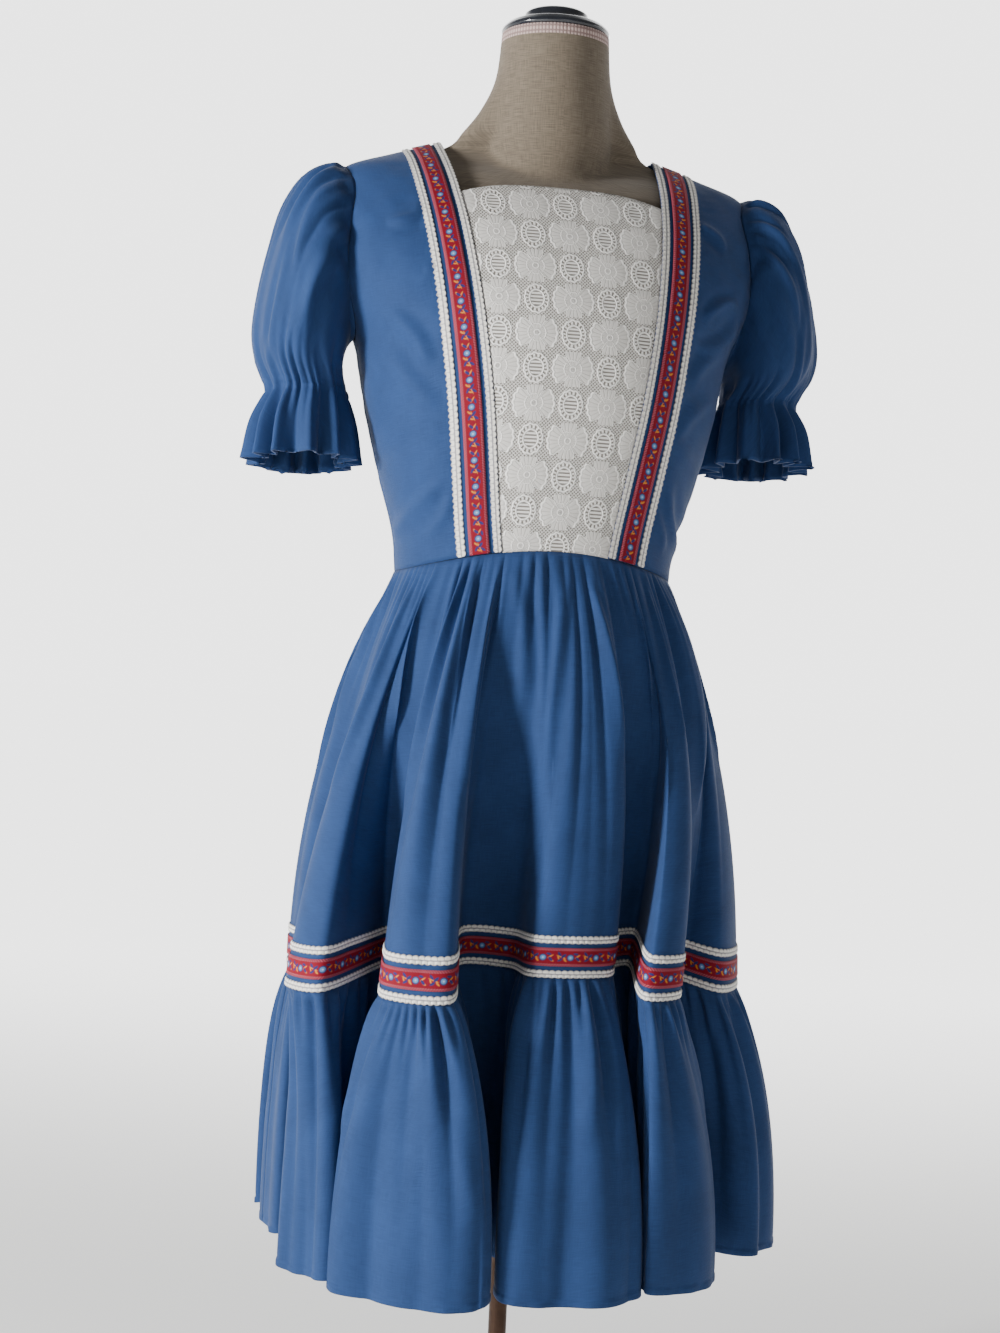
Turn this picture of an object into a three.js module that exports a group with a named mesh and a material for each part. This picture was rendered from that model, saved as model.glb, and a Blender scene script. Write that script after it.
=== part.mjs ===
// A knee-length square dance dress on a limbless dress form.
// Millimetres, +Z up, front faces -Y, origin on the floor under the centre of the stand.
import * as THREE from "three";

// Levels above the floor.
const HEM_Z = 320;
const BAND_LOW_Z = 571;
const WAIST_SIDE_Z = 938;
const WAIST_RISE = 20;
const UNDERARM_Z = 1150;
const TIP_Z = 1311;
const NECK_POINT_Z = 1341;
const BIB_TOP_Z = 1281;
const BIB_ARCH = 12;
const BACK_NECK_Z = 1302;

// Cloth and trims.
const CLOTH = 1.2;
const LACED_CLOTH = 2;
const TRIM = 1.1;
const SEAM_GAP = 0.3;
const WAIST_GAP = 0.5;
const TRIM_GAP = 0.35;
const BRAID = 7;
const RIBBON = 17;
const BODICE_GAP = 3.5;
const BAND_GAP = 4;
const PLACKET = 16;
const TRIM_ZONE = 2 * BRAID + 2 * BODICE_GAP + RIBBON;

// Widths of the bodice.
const BIB_WAIST_HALF = 49;
const BIB_SLOPE = 0.14;
const NECK_POINT_X = 102.6;
const TIP_X = 190;
const SECTION_POWER = 2.25;

// Armhole seen from the side.
const ARMHOLE_HALF_DEPTH = 50;
const ARMHOLE_GAP = 1.2;
const ARMHOLE_MID_Z = (UNDERARM_Z + TIP_Z) / 2;
const ARMHOLE_HALF_HEIGHT = (TIP_Z - UNDERARM_Z) / 2;

// Stand.
const BASE_RADIUS = 150;
const HUB_TOP_Z = 64;
const POLE_RADIUS = 8.5;
const FORM_LOW_Z = 742;
const FORM_TOP_Z = 1446;
const NECK_RADIUS = 51;
const NECK_BLEND = 12;
const FORM_COLUMNS = 32;
const ROUND_SIDES = 28;

// Colours.
const BLUE = "#34598f";
const WHITE = "#ece9e2";
const LACE = "#e9e4da";
const RED = "#c8334a";
const LINEN = "#9c8d79";
const BLACK = "#15151a";
const BRONZE = "#3a2f28";

// Horizontal sections of the bodice: half width, depth before and behind the shoulder line, centre y.
const BODICE = [
  { z: 930, half: 128, front: 104, back: 88, centre: 0 },
  { z: 975, half: 133, front: 108, back: 90, centre: 0 },
  { z: 1030, half: 149, front: 122, back: 98, centre: 0 },
  { z: 1090, half: 164, front: 138, back: 108, centre: 2 },
  { z: 1150, half: 176, front: 141, back: 116, centre: 6 },
  { z: 1200, half: 198, front: 130, back: 118, centre: 10 },
  { z: 1250, half: 204, front: 108, back: 108, centre: 14 },
  { z: 1290, half: 198, front: 78, back: 84, centre: 18 },
  { z: 1311, half: 190, front: 55, back: 62, centre: 20 },
  { z: 1326, half: 150, front: 36, back: 40, centre: 20 },
  { z: 1342, half: 101, front: 14, back: 14, centre: 20 },
];

// Horizontal sections of the form: its body as above, and the round neck that grows out of it.
const FORM = [
  { z: 742, half: 128, front: 92, back: 94, centre: 0, neck: 20 },
  { z: 752, half: 138, front: 98, back: 100, centre: 0, neck: 20 },
  { z: 800, half: 141, front: 100, back: 103, centre: 0, neck: 20 },
  { z: 860, half: 134, front: 94, back: 96, centre: 0, neck: 20 },
  { z: 920, half: 122, front: 88, back: 78, centre: 0, neck: 20 },
  { z: 950, half: 120, front: 90, back: 76, centre: 0, neck: 20 },
  { z: 1000, half: 128, front: 101, back: 83, centre: 0, neck: 20 },
  { z: 1060, half: 144, front: 119, back: 93, centre: 1, neck: 20 },
  { z: 1120, half: 158, front: 129, back: 103, centre: 4, neck: 20 },
  { z: 1180, half: 165, front: 124, back: 108, centre: 8, neck: 20 },
  { z: 1240, half: 172, front: 103, back: 101, centre: 13, neck: 30 },
  { z: 1285, half: 182, front: 72, back: 78, centre: 17, neck: 46 },
  { z: 1306, half: 180, front: 52, back: 58, centre: 19, neck: 54 },
  { z: 1321, half: 141, front: 31, back: 33, centre: 18, neck: 57 },
  { z: 1337, half: 96, front: 16, back: 16, centre: 14, neck: 59 },
  { z: 1352, half: 82, front: 26, back: 26, centre: 9, neck: 59 },
  { z: 1372, half: 67, front: 30, back: 30, centre: 5, neck: 56 },
  { z: 1405, half: 50, front: 34, back: 34, centre: 1, neck: 52 },
  { z: 1446, half: 40, front: 34, back: 34, centre: 0, neck: 50 },
];

// Folds at the band and at the hem: a ridge between two angles at its reach from the axis, raised
// by lift, then a valley between two angles, at its own floor and rise. Angles turn from the front
// towards +X, in degrees.
const BAND_FOLDS = [
  { from: -70, to: -57, reach: 236, lift: -6, dipFrom: -67, dipTo: -62, floor: 140, rise: 8 },
  { from: -39, to: -25, reach: 238, lift: -2, dipFrom: -35, dipTo: -14, floor: 118, rise: 16 },
  { from: -6, to: 15, reach: 178, lift: 17, dipFrom: 31, dipTo: 39, floor: 132, rise: 18 },
  { from: 20, to: 30, reach: 216, lift: 2, dipFrom: 41, dipTo: 47, floor: 168, rise: 9 },
  { from: 50, to: 70, reach: 208, lift: 0, dipFrom: 82, dipTo: 88, floor: 186, rise: 4 },
  { from: 96, to: 108, reach: 214, lift: -2, dipFrom: 112, dipTo: 122, floor: 150, rise: 6 },
  { from: 126, to: 143, reach: 226, lift: -4, dipFrom: 139, dipTo: 152, floor: 132, rise: 12 },
  { from: 158, to: 180, reach: 214, lift: 2, dipFrom: 182, dipTo: 190, floor: 138, rise: 10 },
  { from: 190, to: 207, reach: 228, lift: -5, dipFrom: 206, dipTo: 220, floor: 146, rise: 8 },
  { from: 224, to: 240, reach: 220, lift: 0, dipFrom: 247, dipTo: 254, floor: 172, rise: 5 },
  { from: 262, to: 277, reach: 208, lift: 0, dipFrom: 281, dipTo: 285, floor: 190, rise: 3 },
];
const HEM_FOLDS = [
  { from: -64, to: -52, reach: 238, lift: 2, dipFrom: -58, dipTo: -53, floor: 176, rise: 10 },
  { from: -50, to: -15, reach: 242, lift: -3, dipFrom: -21, dipTo: -13, floor: 150, rise: 18 },
  { from: -11, to: 19, reach: 226, lift: 0, dipFrom: 25, dipTo: 29, floor: 168, rise: 16 },
  { from: 21, to: 43, reach: 230, lift: 4, dipFrom: 48, dipTo: 53, floor: 186, rise: 14 },
  { from: 56, to: 78, reach: 248, lift: 16, dipFrom: 84, dipTo: 89, floor: 204, rise: 20 },
  { from: 93, to: 112, reach: 246, lift: 8, dipFrom: 114, dipTo: 121, floor: 184, rise: 14 },
  { from: 122, to: 150, reach: 248, lift: -2, dipFrom: 147, dipTo: 153, floor: 166, rise: 14 },
  { from: 156, to: 181, reach: 240, lift: 2, dipFrom: 185, dipTo: 189, floor: 172, rise: 13 },
  { from: 191, to: 213, reach: 248, lift: -3, dipFrom: 213, dipTo: 219, floor: 178, rise: 10 },
  { from: 222, to: 246, reach: 246, lift: 8, dipFrom: 250, dipTo: 256, floor: 196, rise: 18 },
  { from: 263, to: 281, reach: 224, lift: 14, dipFrom: 284, dipTo: 288, floor: 190, rise: 18 },
];
const POINTS_PER_FOLD = 4;
const COLUMNS = BAND_FOLDS.length * POINTS_PER_FOLD * 3;
const RIGHT_HAND_SEAM = 55;
const LEFT_HAND_SEAM = 121;
const WAIST_START = -64;
const WAIST_GATHERS = COLUMNS / 3;
const FLOUNCE_GATHERS = COLUMNS / 2;
const TIER_LENGTH = 380;
const SIDE_SEAM = 0.012;

// Sleeve rings from the armhole to the ruffle edge: the outer and inner ends of the ring and its
// half depth. swell is the height of the cap gathers, flute that of the ruffle waves.
const SLEEVE = [
  { outX: 191, outZ: 1312, inX: 178, inZ: 1149, depth: 50, swell: 0, flute: 0 },
  { outX: 207, outZ: 1312, inX: 181, inZ: 1145, depth: 60, swell: 2, flute: 0 },
  { outX: 228, outZ: 1299, inX: 183, inZ: 1141, depth: 69, swell: 2.5, flute: 0 },
  { outX: 247, outZ: 1266, inX: 184, inZ: 1137, depth: 74, swell: 1.5, flute: 0 },
  { outX: 260, outZ: 1221, inX: 185, inZ: 1134, depth: 74, swell: 0.5, flute: 0 },
  { outX: 268, outZ: 1170, inX: 185, inZ: 1130, depth: 70, swell: 0, flute: 1 },
  { outX: 266, outZ: 1140, inX: 185, inZ: 1124, depth: 60, swell: 0, flute: 2 },
  { outX: 256, outZ: 1117, inX: 182, inZ: 1113, depth: 44, swell: 0, flute: 2 },
  { outX: 254, outZ: 1107, inX: 180, inZ: 1106, depth: 41, swell: 0, flute: 2.5 },
  { outX: 262, outZ: 1081, inX: 176, inZ: 1081, depth: 48, swell: 0, flute: 5 },
  { outX: 264, outZ: 1048, inX: 174, inZ: 1048, depth: 52, swell: 0, flute: 7.5 },
];
const SLEEVE_CENTRE_Y = 18;
const SLEEVE_DROP = { left: -6, right: 14 };
const SLEEVE_COLUMNS = 36;
const CAP_GATHERS = 12;
const RUFFLE_WAVES = 12;

const { lerp, clamp } = THREE.MathUtils;

function steps(from, to, count) {
  return Array.from({ length: count + 1 }, (_, i) => lerp(from, to, i / count));
}

// Smooth value of one column of a table of horizontal sections, at height z.
function sectionAt(table, key, z) {
  const last = table.length - 1;
  const at = clamp(z, table[0].z, table[last].z);
  let i = 0;
  while (i < last - 1 && table[i + 1].z < at) i += 1;
  const low = table[i];
  const high = table[i + 1];
  const before = table[Math.max(i - 1, 0)];
  const after = table[Math.min(i + 2, last)];
  const span = high.z - low.z;
  const t = (at - low.z) / span;
  const slopeLow = (high[key] - before[key]) / (high.z - before.z);
  const slopeHigh = (after[key] - low[key]) / (after.z - low.z);
  const ease = t * t * (3 - 2 * t);
  return (
    lerp(low[key], high[key], ease) +
    t * (1 - t) * span * ((1 - t) * slopeLow - t * slopeHigh)
  );
}

// A wall between two offsets of a surface, over a grid of its two parameters. Each list may run
// either way: a step along us crossed with a step along vs points outwards. swell(u, v) moves both
// faces outwards by the same amount, and level keeps the offsets horizontal.
function wall(point, us, vs, { inner = -CLOTH, outer = 0, closed, level, swell = () => 0 } = {}) {
  const stepU = 1e-3 * Math.sign(us[1] - us[0]);
  const stepV = 1e-3 * Math.sign(vs[1] - vs[0]);
  const cols = us.length;
  const rows = vs.length;
  const shift = (u, v, offset) => {
    const along = point(u + stepU, v).sub(point(u - stepU, v));
    const up = point(u, v + stepV).sub(point(u, v - stepV));
    const normal = along.cross(up);
    if (level) normal.z = 0;
    return point(u, v).addScaledVector(normal.normalize(), offset + swell(u, v));
  };
  const positions = [outer, inner].flatMap((offset) =>
    vs.flatMap((v) => us.flatMap((u) => shift(u, v, offset).toArray())),
  );
  const id = (side, row, col) => (side * rows + row) * cols + (col % cols);
  const index = [];
  const quad = (a, b, c, d) => index.push(a, b, c, a, c, d);
  const spans = closed ? cols : cols - 1;
  const top = rows - 1;
  const end = cols - 1;
  for (let c = 0; c < spans; c += 1) {
    for (let r = 0; r < top; r += 1) {
      quad(id(0, r, c), id(0, r, c + 1), id(0, r + 1, c + 1), id(0, r + 1, c));
      quad(id(1, r, c), id(1, r + 1, c), id(1, r + 1, c + 1), id(1, r, c + 1));
    }
    quad(id(0, 0, c), id(1, 0, c), id(1, 0, c + 1), id(0, 0, c + 1));
    quad(id(0, top, c), id(0, top, c + 1), id(1, top, c + 1), id(1, top, c));
  }
  for (let r = 0; r < top && !closed; r += 1) {
    quad(id(0, r, 0), id(0, r + 1, 0), id(1, r + 1, 0), id(1, r, 0));
    quad(id(0, r, end), id(1, r, end), id(1, r + 1, end), id(0, r + 1, end));
  }
  const geometry = new THREE.BufferGeometry();
  geometry.setAttribute("position", new THREE.Float32BufferAttribute(positions, 3));
  geometry.setIndex(index);
  geometry.computeVertexNormals();
  return geometry;
}

const part = new THREE.Group();

function add(name, geometry, color, roughness = 0.9, metalness = 0) {
  const material = new THREE.MeshStandardMaterial({ color, roughness, metalness });
  const mesh = new THREE.Mesh(geometry, material);
  mesh.name = name;
  part.add(mesh);
}

function mirrored(point) {
  return (u, v) => {
    const p = point(u, v);
    p.x = -p.x;
    return p;
  };
}

// Adds a piece on the wearer's left, at +X, and its mirror image on the right.
function addPair(name, point, us, vs, color, offsets) {
  add(`${name}_left`, wall(point, us, vs, offsets), color);
  add(`${name}_right`, wall(mirrored(point), [...us].reverse(), vs, offsets), color);
}

// The point of the bodice's surface at a given x and z, before or behind the shoulder line.
function bodicePoint(x, z, key) {
  const way = key === "front" ? -1 : 1;
  const ratio = clamp(Math.abs(x) / sectionAt(BODICE, "half", z), 0, 1);
  const depth = sectionAt(BODICE, key, z) * (1 - ratio ** SECTION_POWER) ** (1 / SECTION_POWER);
  const y = sectionAt(BODICE, "centre", z) + way * Math.max(depth, SEAM_GAP / 2);
  return new THREE.Vector3(x, y, z);
}

// Height of the shoulder line, which falls from the neck point to the sleeve.
function shoulderZ(x) {
  let low = TIP_Z;
  let high = BODICE.at(-1).z;
  for (let i = 0; i < 30; i += 1) {
    const middle = (low + high) / 2;
    if (sectionAt(BODICE, "half", middle) > x) low = middle;
    else high = middle;
  }
  return low;
}

function waistZ(x) {
  const turn = clamp(Math.abs(x) / sectionAt(BODICE, "half", WAIST_SIDE_Z), 0, 1);
  return WAIST_SIDE_Z + WAIST_RISE * Math.cos((Math.PI / 2) * turn);
}

function bibEdge(z) {
  return BIB_WAIST_HALF + BIB_SLOPE * (z - WAIST_SIDE_Z - WAIST_RISE);
}

// Outer edge of the front and back: the side seam, then the armhole.
function sideEdge(z, key) {
  if (z >= TIP_Z) return TIP_X;
  const half = sectionAt(BODICE, "half", z);
  const rise = (z - ARMHOLE_MID_Z) / ARMHOLE_HALF_HEIGHT;
  if (rise <= -1) return half;
  const cut = ARMHOLE_HALF_DEPTH * Math.sqrt(1 - rise * rise);
  const ratio = clamp(cut / sectionAt(BODICE, key, z), 0, 1);
  return half * (1 - ratio ** SECTION_POWER) ** (1 / SECTION_POWER);
}

// A bodice panel in two zones: u from 0 to 1 is a strip of even width along the inner edge, and
// u from 1 to 2 runs on to the side. v runs from the waist to the top edge.
function panel(key, innerEdge, zone, topZ) {
  const across = (u, z) => {
    const inner = innerEdge(z);
    if (u <= 1) return inner + u * zone;
    return lerp(inner + zone, sideEdge(z, key), Math.sin((Math.PI / 2) * Math.min(u - 1, 1)));
  };
  return (u, v) => {
    const foot = waistZ(across(u, WAIST_SIDE_Z)) + WAIST_GAP;
    const z = lerp(foot, topZ(across(u, NECK_POINT_Z)), v);
    return bodicePoint(across(u, z), z, key);
  };
}

function backTopZ(x) {
  if (x >= NECK_POINT_X) return shoulderZ(x);
  return lerp(BACK_NECK_Z, shoulderZ(NECK_POINT_X), Math.abs(x / NECK_POINT_X) ** 2.6);
}

const frontPanel = panel("front", bibEdge, TRIM_ZONE, shoulderZ);
const backPanel = panel("back", () => SEAM_GAP / 2, PLACKET, backTopZ);
const BODICE_ROWS = steps(0, 1, 11).map((t) => 1 - (1 - t) ** 1.35);
const SIDE_COLUMNS = [1.25, 1.5, 1.7, 1.85, 2];

// Trims on the front: the offsets of their edges from the bib seam.
const INNER_BRAID = [0, BRAID];
const FRONT_RIBBON = [BRAID + BODICE_GAP, BRAID + BODICE_GAP + RIBBON];
const OUTER_BRAID = [TRIM_ZONE - BRAID, TRIM_ZONE];
const LAID_ON = { inner: TRIM_GAP, outer: TRIM_GAP + TRIM };

function addBodice() {
  const trims = { inner_braid: INNER_BRAID, ribbon: FRONT_RIBBON, outer_braid: OUTER_BRAID };
  const edges = Object.values(trims).flat().map((edge) => edge / TRIM_ZONE);
  addPair("side_front", frontPanel, [...edges, ...SIDE_COLUMNS], BODICE_ROWS, BLUE);
  for (const [name, strip] of Object.entries(trims)) {
    const us = strip.map((edge) => edge / TRIM_ZONE);
    addPair(name, frontPanel, us, BODICE_ROWS, name === "ribbon" ? RED : WHITE, LAID_ON);
  }
  const backColumns = [0, 1, 1.12, ...SIDE_COLUMNS].reverse();
  addPair("back", backPanel, backColumns, BODICE_ROWS, BLUE);
  add("back_placket", wall(backPanel, [1, 0], BODICE_ROWS, LAID_ON), BLUE);
}

// The lace panel: across from seam to seam, up from the waist to its arched top.
function bibPoint(u, v) {
  const foot = waistZ(u * BIB_WAIST_HALF) + WAIST_GAP;
  const z = lerp(foot, BIB_TOP_Z + BIB_ARCH * (1 - Math.abs(u) ** 3), v);
  return bodicePoint(u * (bibEdge(z) - SEAM_GAP), z, "front");
}

// Sleeve: u turns round the ring from its outer end, v counts the rings.
function sleeveRing(u, row, drop) {
  const turn = u * Math.PI * 2;
  const cap = row.swell * Math.cos(turn * CAP_GATHERS) * Math.max(Math.cos(turn), 0);
  const swell = 1 + (cap + row.flute * Math.cos(turn * RUFFLE_WAVES)) / row.depth;
  const outer = new THREE.Vector3(row.outX, SLEEVE_CENTRE_Y, row.outZ - drop);
  const inner = new THREE.Vector3(row.inX, SLEEVE_CENTRE_Y, row.inZ - drop);
  const p = inner.lerp(outer, (1 + Math.cos(turn) * swell) / 2);
  p.y += Math.sin(turn) * row.depth * swell;
  return p;
}

function armholePoint(u) {
  const turn = u * Math.PI * 2;
  const key = Math.sin(turn) < 0 ? "front" : "back";
  const z = ARMHOLE_MID_Z + ARMHOLE_HALF_HEIGHT * Math.cos(turn);
  const x = Math.min(sideEdge(z - 1e-6, key), TIP_X) + ARMHOLE_GAP;
  const y = sectionAt(BODICE, "centre", z) + ARMHOLE_HALF_DEPTH * Math.sin(turn);
  return new THREE.Vector3(x, y, z);
}

// drop is how much lower than the table the ruffle's edge hangs.
function sleeve(drop) {
  const last = SLEEVE.length - 1;
  const ring = (u, i) => (i === 0 ? armholePoint(u) : sleeveRing(u, SLEEVE[i], (drop * i) / last));
  return (u, v) => {
    const at = clamp(v, 0, last);
    const i = Math.min(Math.floor(at), last - 1);
    return ring(u, i).lerp(ring(u, i + 1), at - i);
  };
}

function addSleeves() {
  const us = steps(0, 1, SLEEVE_COLUMNS).slice(1);
  const vs = SLEEVE.map((_, i) => i);
  add("sleeve_left", wall(sleeve(SLEEVE_DROP.left), [...us].reverse(), vs, { closed: true }), BLUE);
  add("sleeve_right", wall(mirrored(sleeve(SLEEVE_DROP.right)), us, vs, { closed: true }), BLUE);
}

// A closed curve through a table of folds, at a base height.
function foldCurve(folds, z) {
  const at = (degrees, reach, lift) => {
    const angle = THREE.MathUtils.degToRad(degrees);
    return new THREE.Vector3(reach * Math.sin(angle), -reach * Math.cos(angle), z + lift);
  };
  const points = folds.flatMap((fold) => [
    at(fold.from, fold.reach, fold.lift),
    at(fold.to, fold.reach, fold.lift),
    at(fold.dipFrom, fold.floor, fold.rise),
    at(fold.dipTo, fold.floor, fold.rise),
  ]);
  return new THREE.CatmullRomCurve3(points, true, "centripetal");
}

const bandCurve = foldCurve(BAND_FOLDS, BAND_LOW_Z);
const hemCurve = foldCurve(HEM_FOLDS, HEM_Z);
const around = (u) => (((u / COLUMNS) % 1) + 1) % 1;

function waistPoint(u) {
  const angle = THREE.MathUtils.degToRad(WAIST_START + (360 * u) / COLUMNS);
  const key = Math.cos(angle) > 0 ? "front" : "back";
  const power = 2 / SECTION_POWER;
  const half = sectionAt(BODICE, "half", WAIST_SIDE_Z);
  const x = half * Math.sign(Math.sin(angle)) * Math.abs(Math.sin(angle)) ** power;
  const depth = sectionAt(BODICE, key, WAIST_SIDE_Z) * Math.abs(Math.cos(angle)) ** power;
  return new THREE.Vector3(x, key === "front" ? -depth : depth, waistZ(x));
}

// The bell that the upper tier would make with no folds, at the same turn as the waist.
function bellPoint(u) {
  const p = waistPoint(u);
  const reach = Math.hypot(p.x, p.y);
  return new THREE.Vector3((p.x / reach) * 202, (p.y / reach) * 196, BAND_LOW_Z);
}

// Upper tier: u counts columns round from the first fold, v runs from the waist down to its seam.
function tierPoint(u, v) {
  const bell = 1 - (1 - clamp(v, 0, 1)) ** 2.2;
  const folded = bellPoint(u).lerp(bandCurve.getPoint(around(u)), clamp(v, 0, 1) ** 1.1);
  const waist = waistPoint(u);
  const p = waist.clone().lerp(folded, bell);
  p.z = lerp(waist.z, folded.z, v);
  return p;
}

// Flounce: v runs from its seam down to the hem.
function flouncePoint(u, v) {
  const top = bandCurve.getPoint(around(u));
  const hem = hemCurve.getPoint(around(u));
  top.z -= SEAM_GAP;
  const p = top.clone().lerp(hem, 1 - (1 - clamp(v, 0, 1)) ** 2.4);
  p.z = lerp(top.z, hem.z, v);
  return p;
}

// Gathers start in a seam, are fullest just below it and die away further down.
function gathers(count, height, fullestAt) {
  return (u, v) => {
    const fall = v / fullestAt;
    return height * fall * Math.exp(1 - fall) * Math.cos((2 * Math.PI * count * u) / COLUMNS);
  };
}

// Rows of the upper tier end in the edges of its band.
const upBy = (edge) => 1 - edge / TIER_LENGTH;
const BAND_HEIGHT = 2 * BRAID + 2 * BAND_GAP + RIBBON;
const TIER_ROWS = [1, upBy(BAND_HEIGHT / 2), upBy(BAND_HEIGHT), 0.6, 0.28, 0.07, 0];
const FLOUNCE_ROWS = [1, 0.62, 0.28, 0.08, 0];

function addSkirt() {
  const sides = {
    front: [LEFT_HAND_SEAM - COLUMNS, RIGHT_HAND_SEAM],
    back: [RIGHT_HAND_SEAM, LEFT_HAND_SEAM],
  };
  const strips = {
    lower_band_braid: [0, BRAID],
    band_ribbon: [BRAID + BAND_GAP, BRAID + BAND_GAP + RIBBON],
    upper_band_braid: [BAND_HEIGHT - BRAID, BAND_HEIGHT],
  };
  for (const [side, [from, to]] of Object.entries(sides)) {
    const us = steps(from, to, to - from);
    us[0] += SIDE_SEAM;
    us[us.length - 1] -= SIDE_SEAM;
    const tier = { level: true, swell: gathers(WAIST_GATHERS, 2.6, 0.06) };
    const flounce = { level: true, swell: gathers(FLOUNCE_GATHERS, 3.2, 0.1) };
    add(`upper_tier_${side}`, wall(tierPoint, us, TIER_ROWS, tier), BLUE);
    add(`flounce_${side}`, wall(flouncePoint, us, FLOUNCE_ROWS, flounce), BLUE);
    for (const [name, strip] of Object.entries(strips)) {
      const color = name === "band_ribbon" ? RED : WHITE;
      add(`${name}_${side}`, wall(tierPoint, us, strip.map(upBy), { ...LAID_ON, level: true }), color);
    }
  }
}

// The form's section at height z: the body's oval and the round neck, blended.
function formPoint(turn, z) {
  const key = Math.cos(turn) > 0 ? "front" : "back";
  const half = sectionAt(FORM, "half", z);
  const depth = sectionAt(FORM, key, z);
  const angle = Math.atan2(half * Math.sin(turn), depth * Math.cos(turn));
  const sideways = Math.abs(Math.sin(angle)) / half;
  const onwards = Math.abs(Math.cos(angle)) / depth;
  const oval = (sideways ** SECTION_POWER + onwards ** SECTION_POWER) ** (-1 / SECTION_POWER);
  const reach = (oval ** NECK_BLEND + sectionAt(FORM, "neck", z) ** NECK_BLEND) ** (1 / NECK_BLEND);
  const y = sectionAt(FORM, "centre", z) - reach * Math.cos(angle);
  return new THREE.Vector3(reach * Math.sin(angle), y, z);
}

// A solid through closed rings of points, with flat ends.
function loft(rings) {
  const count = rings[0].length;
  const centre = (ring) => ring.reduce((sum, p) => sum.add(p), new THREE.Vector3()).divideScalar(count);
  const points = [...rings.flat(), centre(rings[0]), centre(rings.at(-1))];
  const index = [];
  const foot = rings.length * count;
  for (let c = 0; c < count; c += 1) {
    const next = (c + 1) % count;
    for (let r = 0; r < rings.length - 1; r += 1) {
      const low = r * count;
      const high = low + count;
      index.push(low + c, low + next, high + next, low + c, high + next, high + c);
    }
    const last = foot - count;
    index.push(foot, next, c, foot + 1, last + c, last + next);
  }
  const geometry = new THREE.BufferGeometry().setFromPoints(points);
  geometry.setIndex(index);
  geometry.computeVertexNormals();
  return geometry;
}

function addForm() {
  const turns = steps(0, 2 * Math.PI, FORM_COLUMNS).slice(1);
  const levels = [...FORM.map((row) => row.z), 830, 1210].sort((a, b) => a - b);
  add("form_torso", loft(levels.map((z) => turns.map((turn) => formPoint(turn, z)))), LINEN);
}

function turned(profile) {
  const points = profile.map(([radius, z]) => new THREE.Vector2(radius, z));
  return new THREE.LatheGeometry(points, ROUND_SIDES).rotateX(Math.PI / 2);
}

function addStand() {
  const cap = FORM_TOP_Z + SEAM_GAP;
  add(
    "neck_cap",
    turned([
      [0, cap],
      [NECK_RADIUS - 2, cap],
      [NECK_RADIUS, cap + 3],
      [NECK_RADIUS - 5, cap + 9],
      [33, cap + 12],
      [30, cap + 15],
      [30, cap + 20],
      [27, cap + 22],
      [0, cap + 22],
    ]),
    BLACK,
    0.2,
  );
  add(
    "base",
    turned([
      [0, 0],
      [BASE_RADIUS - 2, 0],
      [BASE_RADIUS, 3],
      [BASE_RADIUS, 9],
      [BASE_RADIUS - 5, 13],
      [34, 20],
      [22, 26],
      [19, HUB_TOP_Z - 6],
      [14, HUB_TOP_Z],
      [0, HUB_TOP_Z],
    ]),
    BRONZE,
    0.4,
    0.6,
  );
  const poleLength = FORM_LOW_Z - HUB_TOP_Z - 2 * SEAM_GAP;
  const pole = new THREE.CylinderGeometry(POLE_RADIUS, POLE_RADIUS, poleLength, 24);
  pole.rotateX(Math.PI / 2).translate(0, 0, HUB_TOP_Z + SEAM_GAP + poleLength / 2);
  add("pole", pole, BRONZE, 0.4, 0.6);
}

addBodice();
add("bib", wall(bibPoint, steps(-1, 1, 8), steps(0, 1, 9), { inner: -LACED_CLOTH }), LACE);
addSleeves();
addSkirt();
addForm();
addStand();

export default part;
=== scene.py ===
"""The looks of the square dance dress on its form: finer cloth, trims, materials, light and camera.

Lengths in the shape functions are millimetres, as in the frame's source, and become metres in the
meshes. +Z is up and the front faces -Y. Angles turn from the front towards +X.
"""
import math

import bpy
import numpy as np
from mathutils import Euler, Matrix, Vector


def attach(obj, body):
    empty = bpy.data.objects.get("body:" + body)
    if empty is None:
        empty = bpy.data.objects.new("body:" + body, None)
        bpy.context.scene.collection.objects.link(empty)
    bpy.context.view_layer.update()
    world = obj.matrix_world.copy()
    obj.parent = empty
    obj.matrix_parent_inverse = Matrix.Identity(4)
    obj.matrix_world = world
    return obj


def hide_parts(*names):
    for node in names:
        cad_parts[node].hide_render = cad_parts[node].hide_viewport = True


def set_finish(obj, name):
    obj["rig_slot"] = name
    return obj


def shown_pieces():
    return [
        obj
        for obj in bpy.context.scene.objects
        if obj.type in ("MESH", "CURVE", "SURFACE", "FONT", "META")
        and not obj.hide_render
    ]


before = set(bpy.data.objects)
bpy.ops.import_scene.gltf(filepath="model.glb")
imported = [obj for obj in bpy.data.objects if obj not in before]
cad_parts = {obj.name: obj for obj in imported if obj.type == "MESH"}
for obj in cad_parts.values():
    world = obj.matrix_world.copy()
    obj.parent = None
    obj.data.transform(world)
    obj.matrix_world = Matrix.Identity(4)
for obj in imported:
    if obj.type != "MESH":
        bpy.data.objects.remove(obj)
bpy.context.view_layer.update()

MM = 0.001

# Levels above the floor.
HEM_Z = 320
BAND_Z = 571
WAIST_SIDE_Z = 938
WAIST_RISE = 20
TIP_Z = 1311
NECK_POINT_Z = 1341
SHOULDER_TOP_Z = 1342
BIB_TOP_Z = 1281
BIB_ARCH = 12
BACK_NECK_Z = 1302
SELVEDGE_Z = 1436.5
FORM_TOP_Z = 1446

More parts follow.
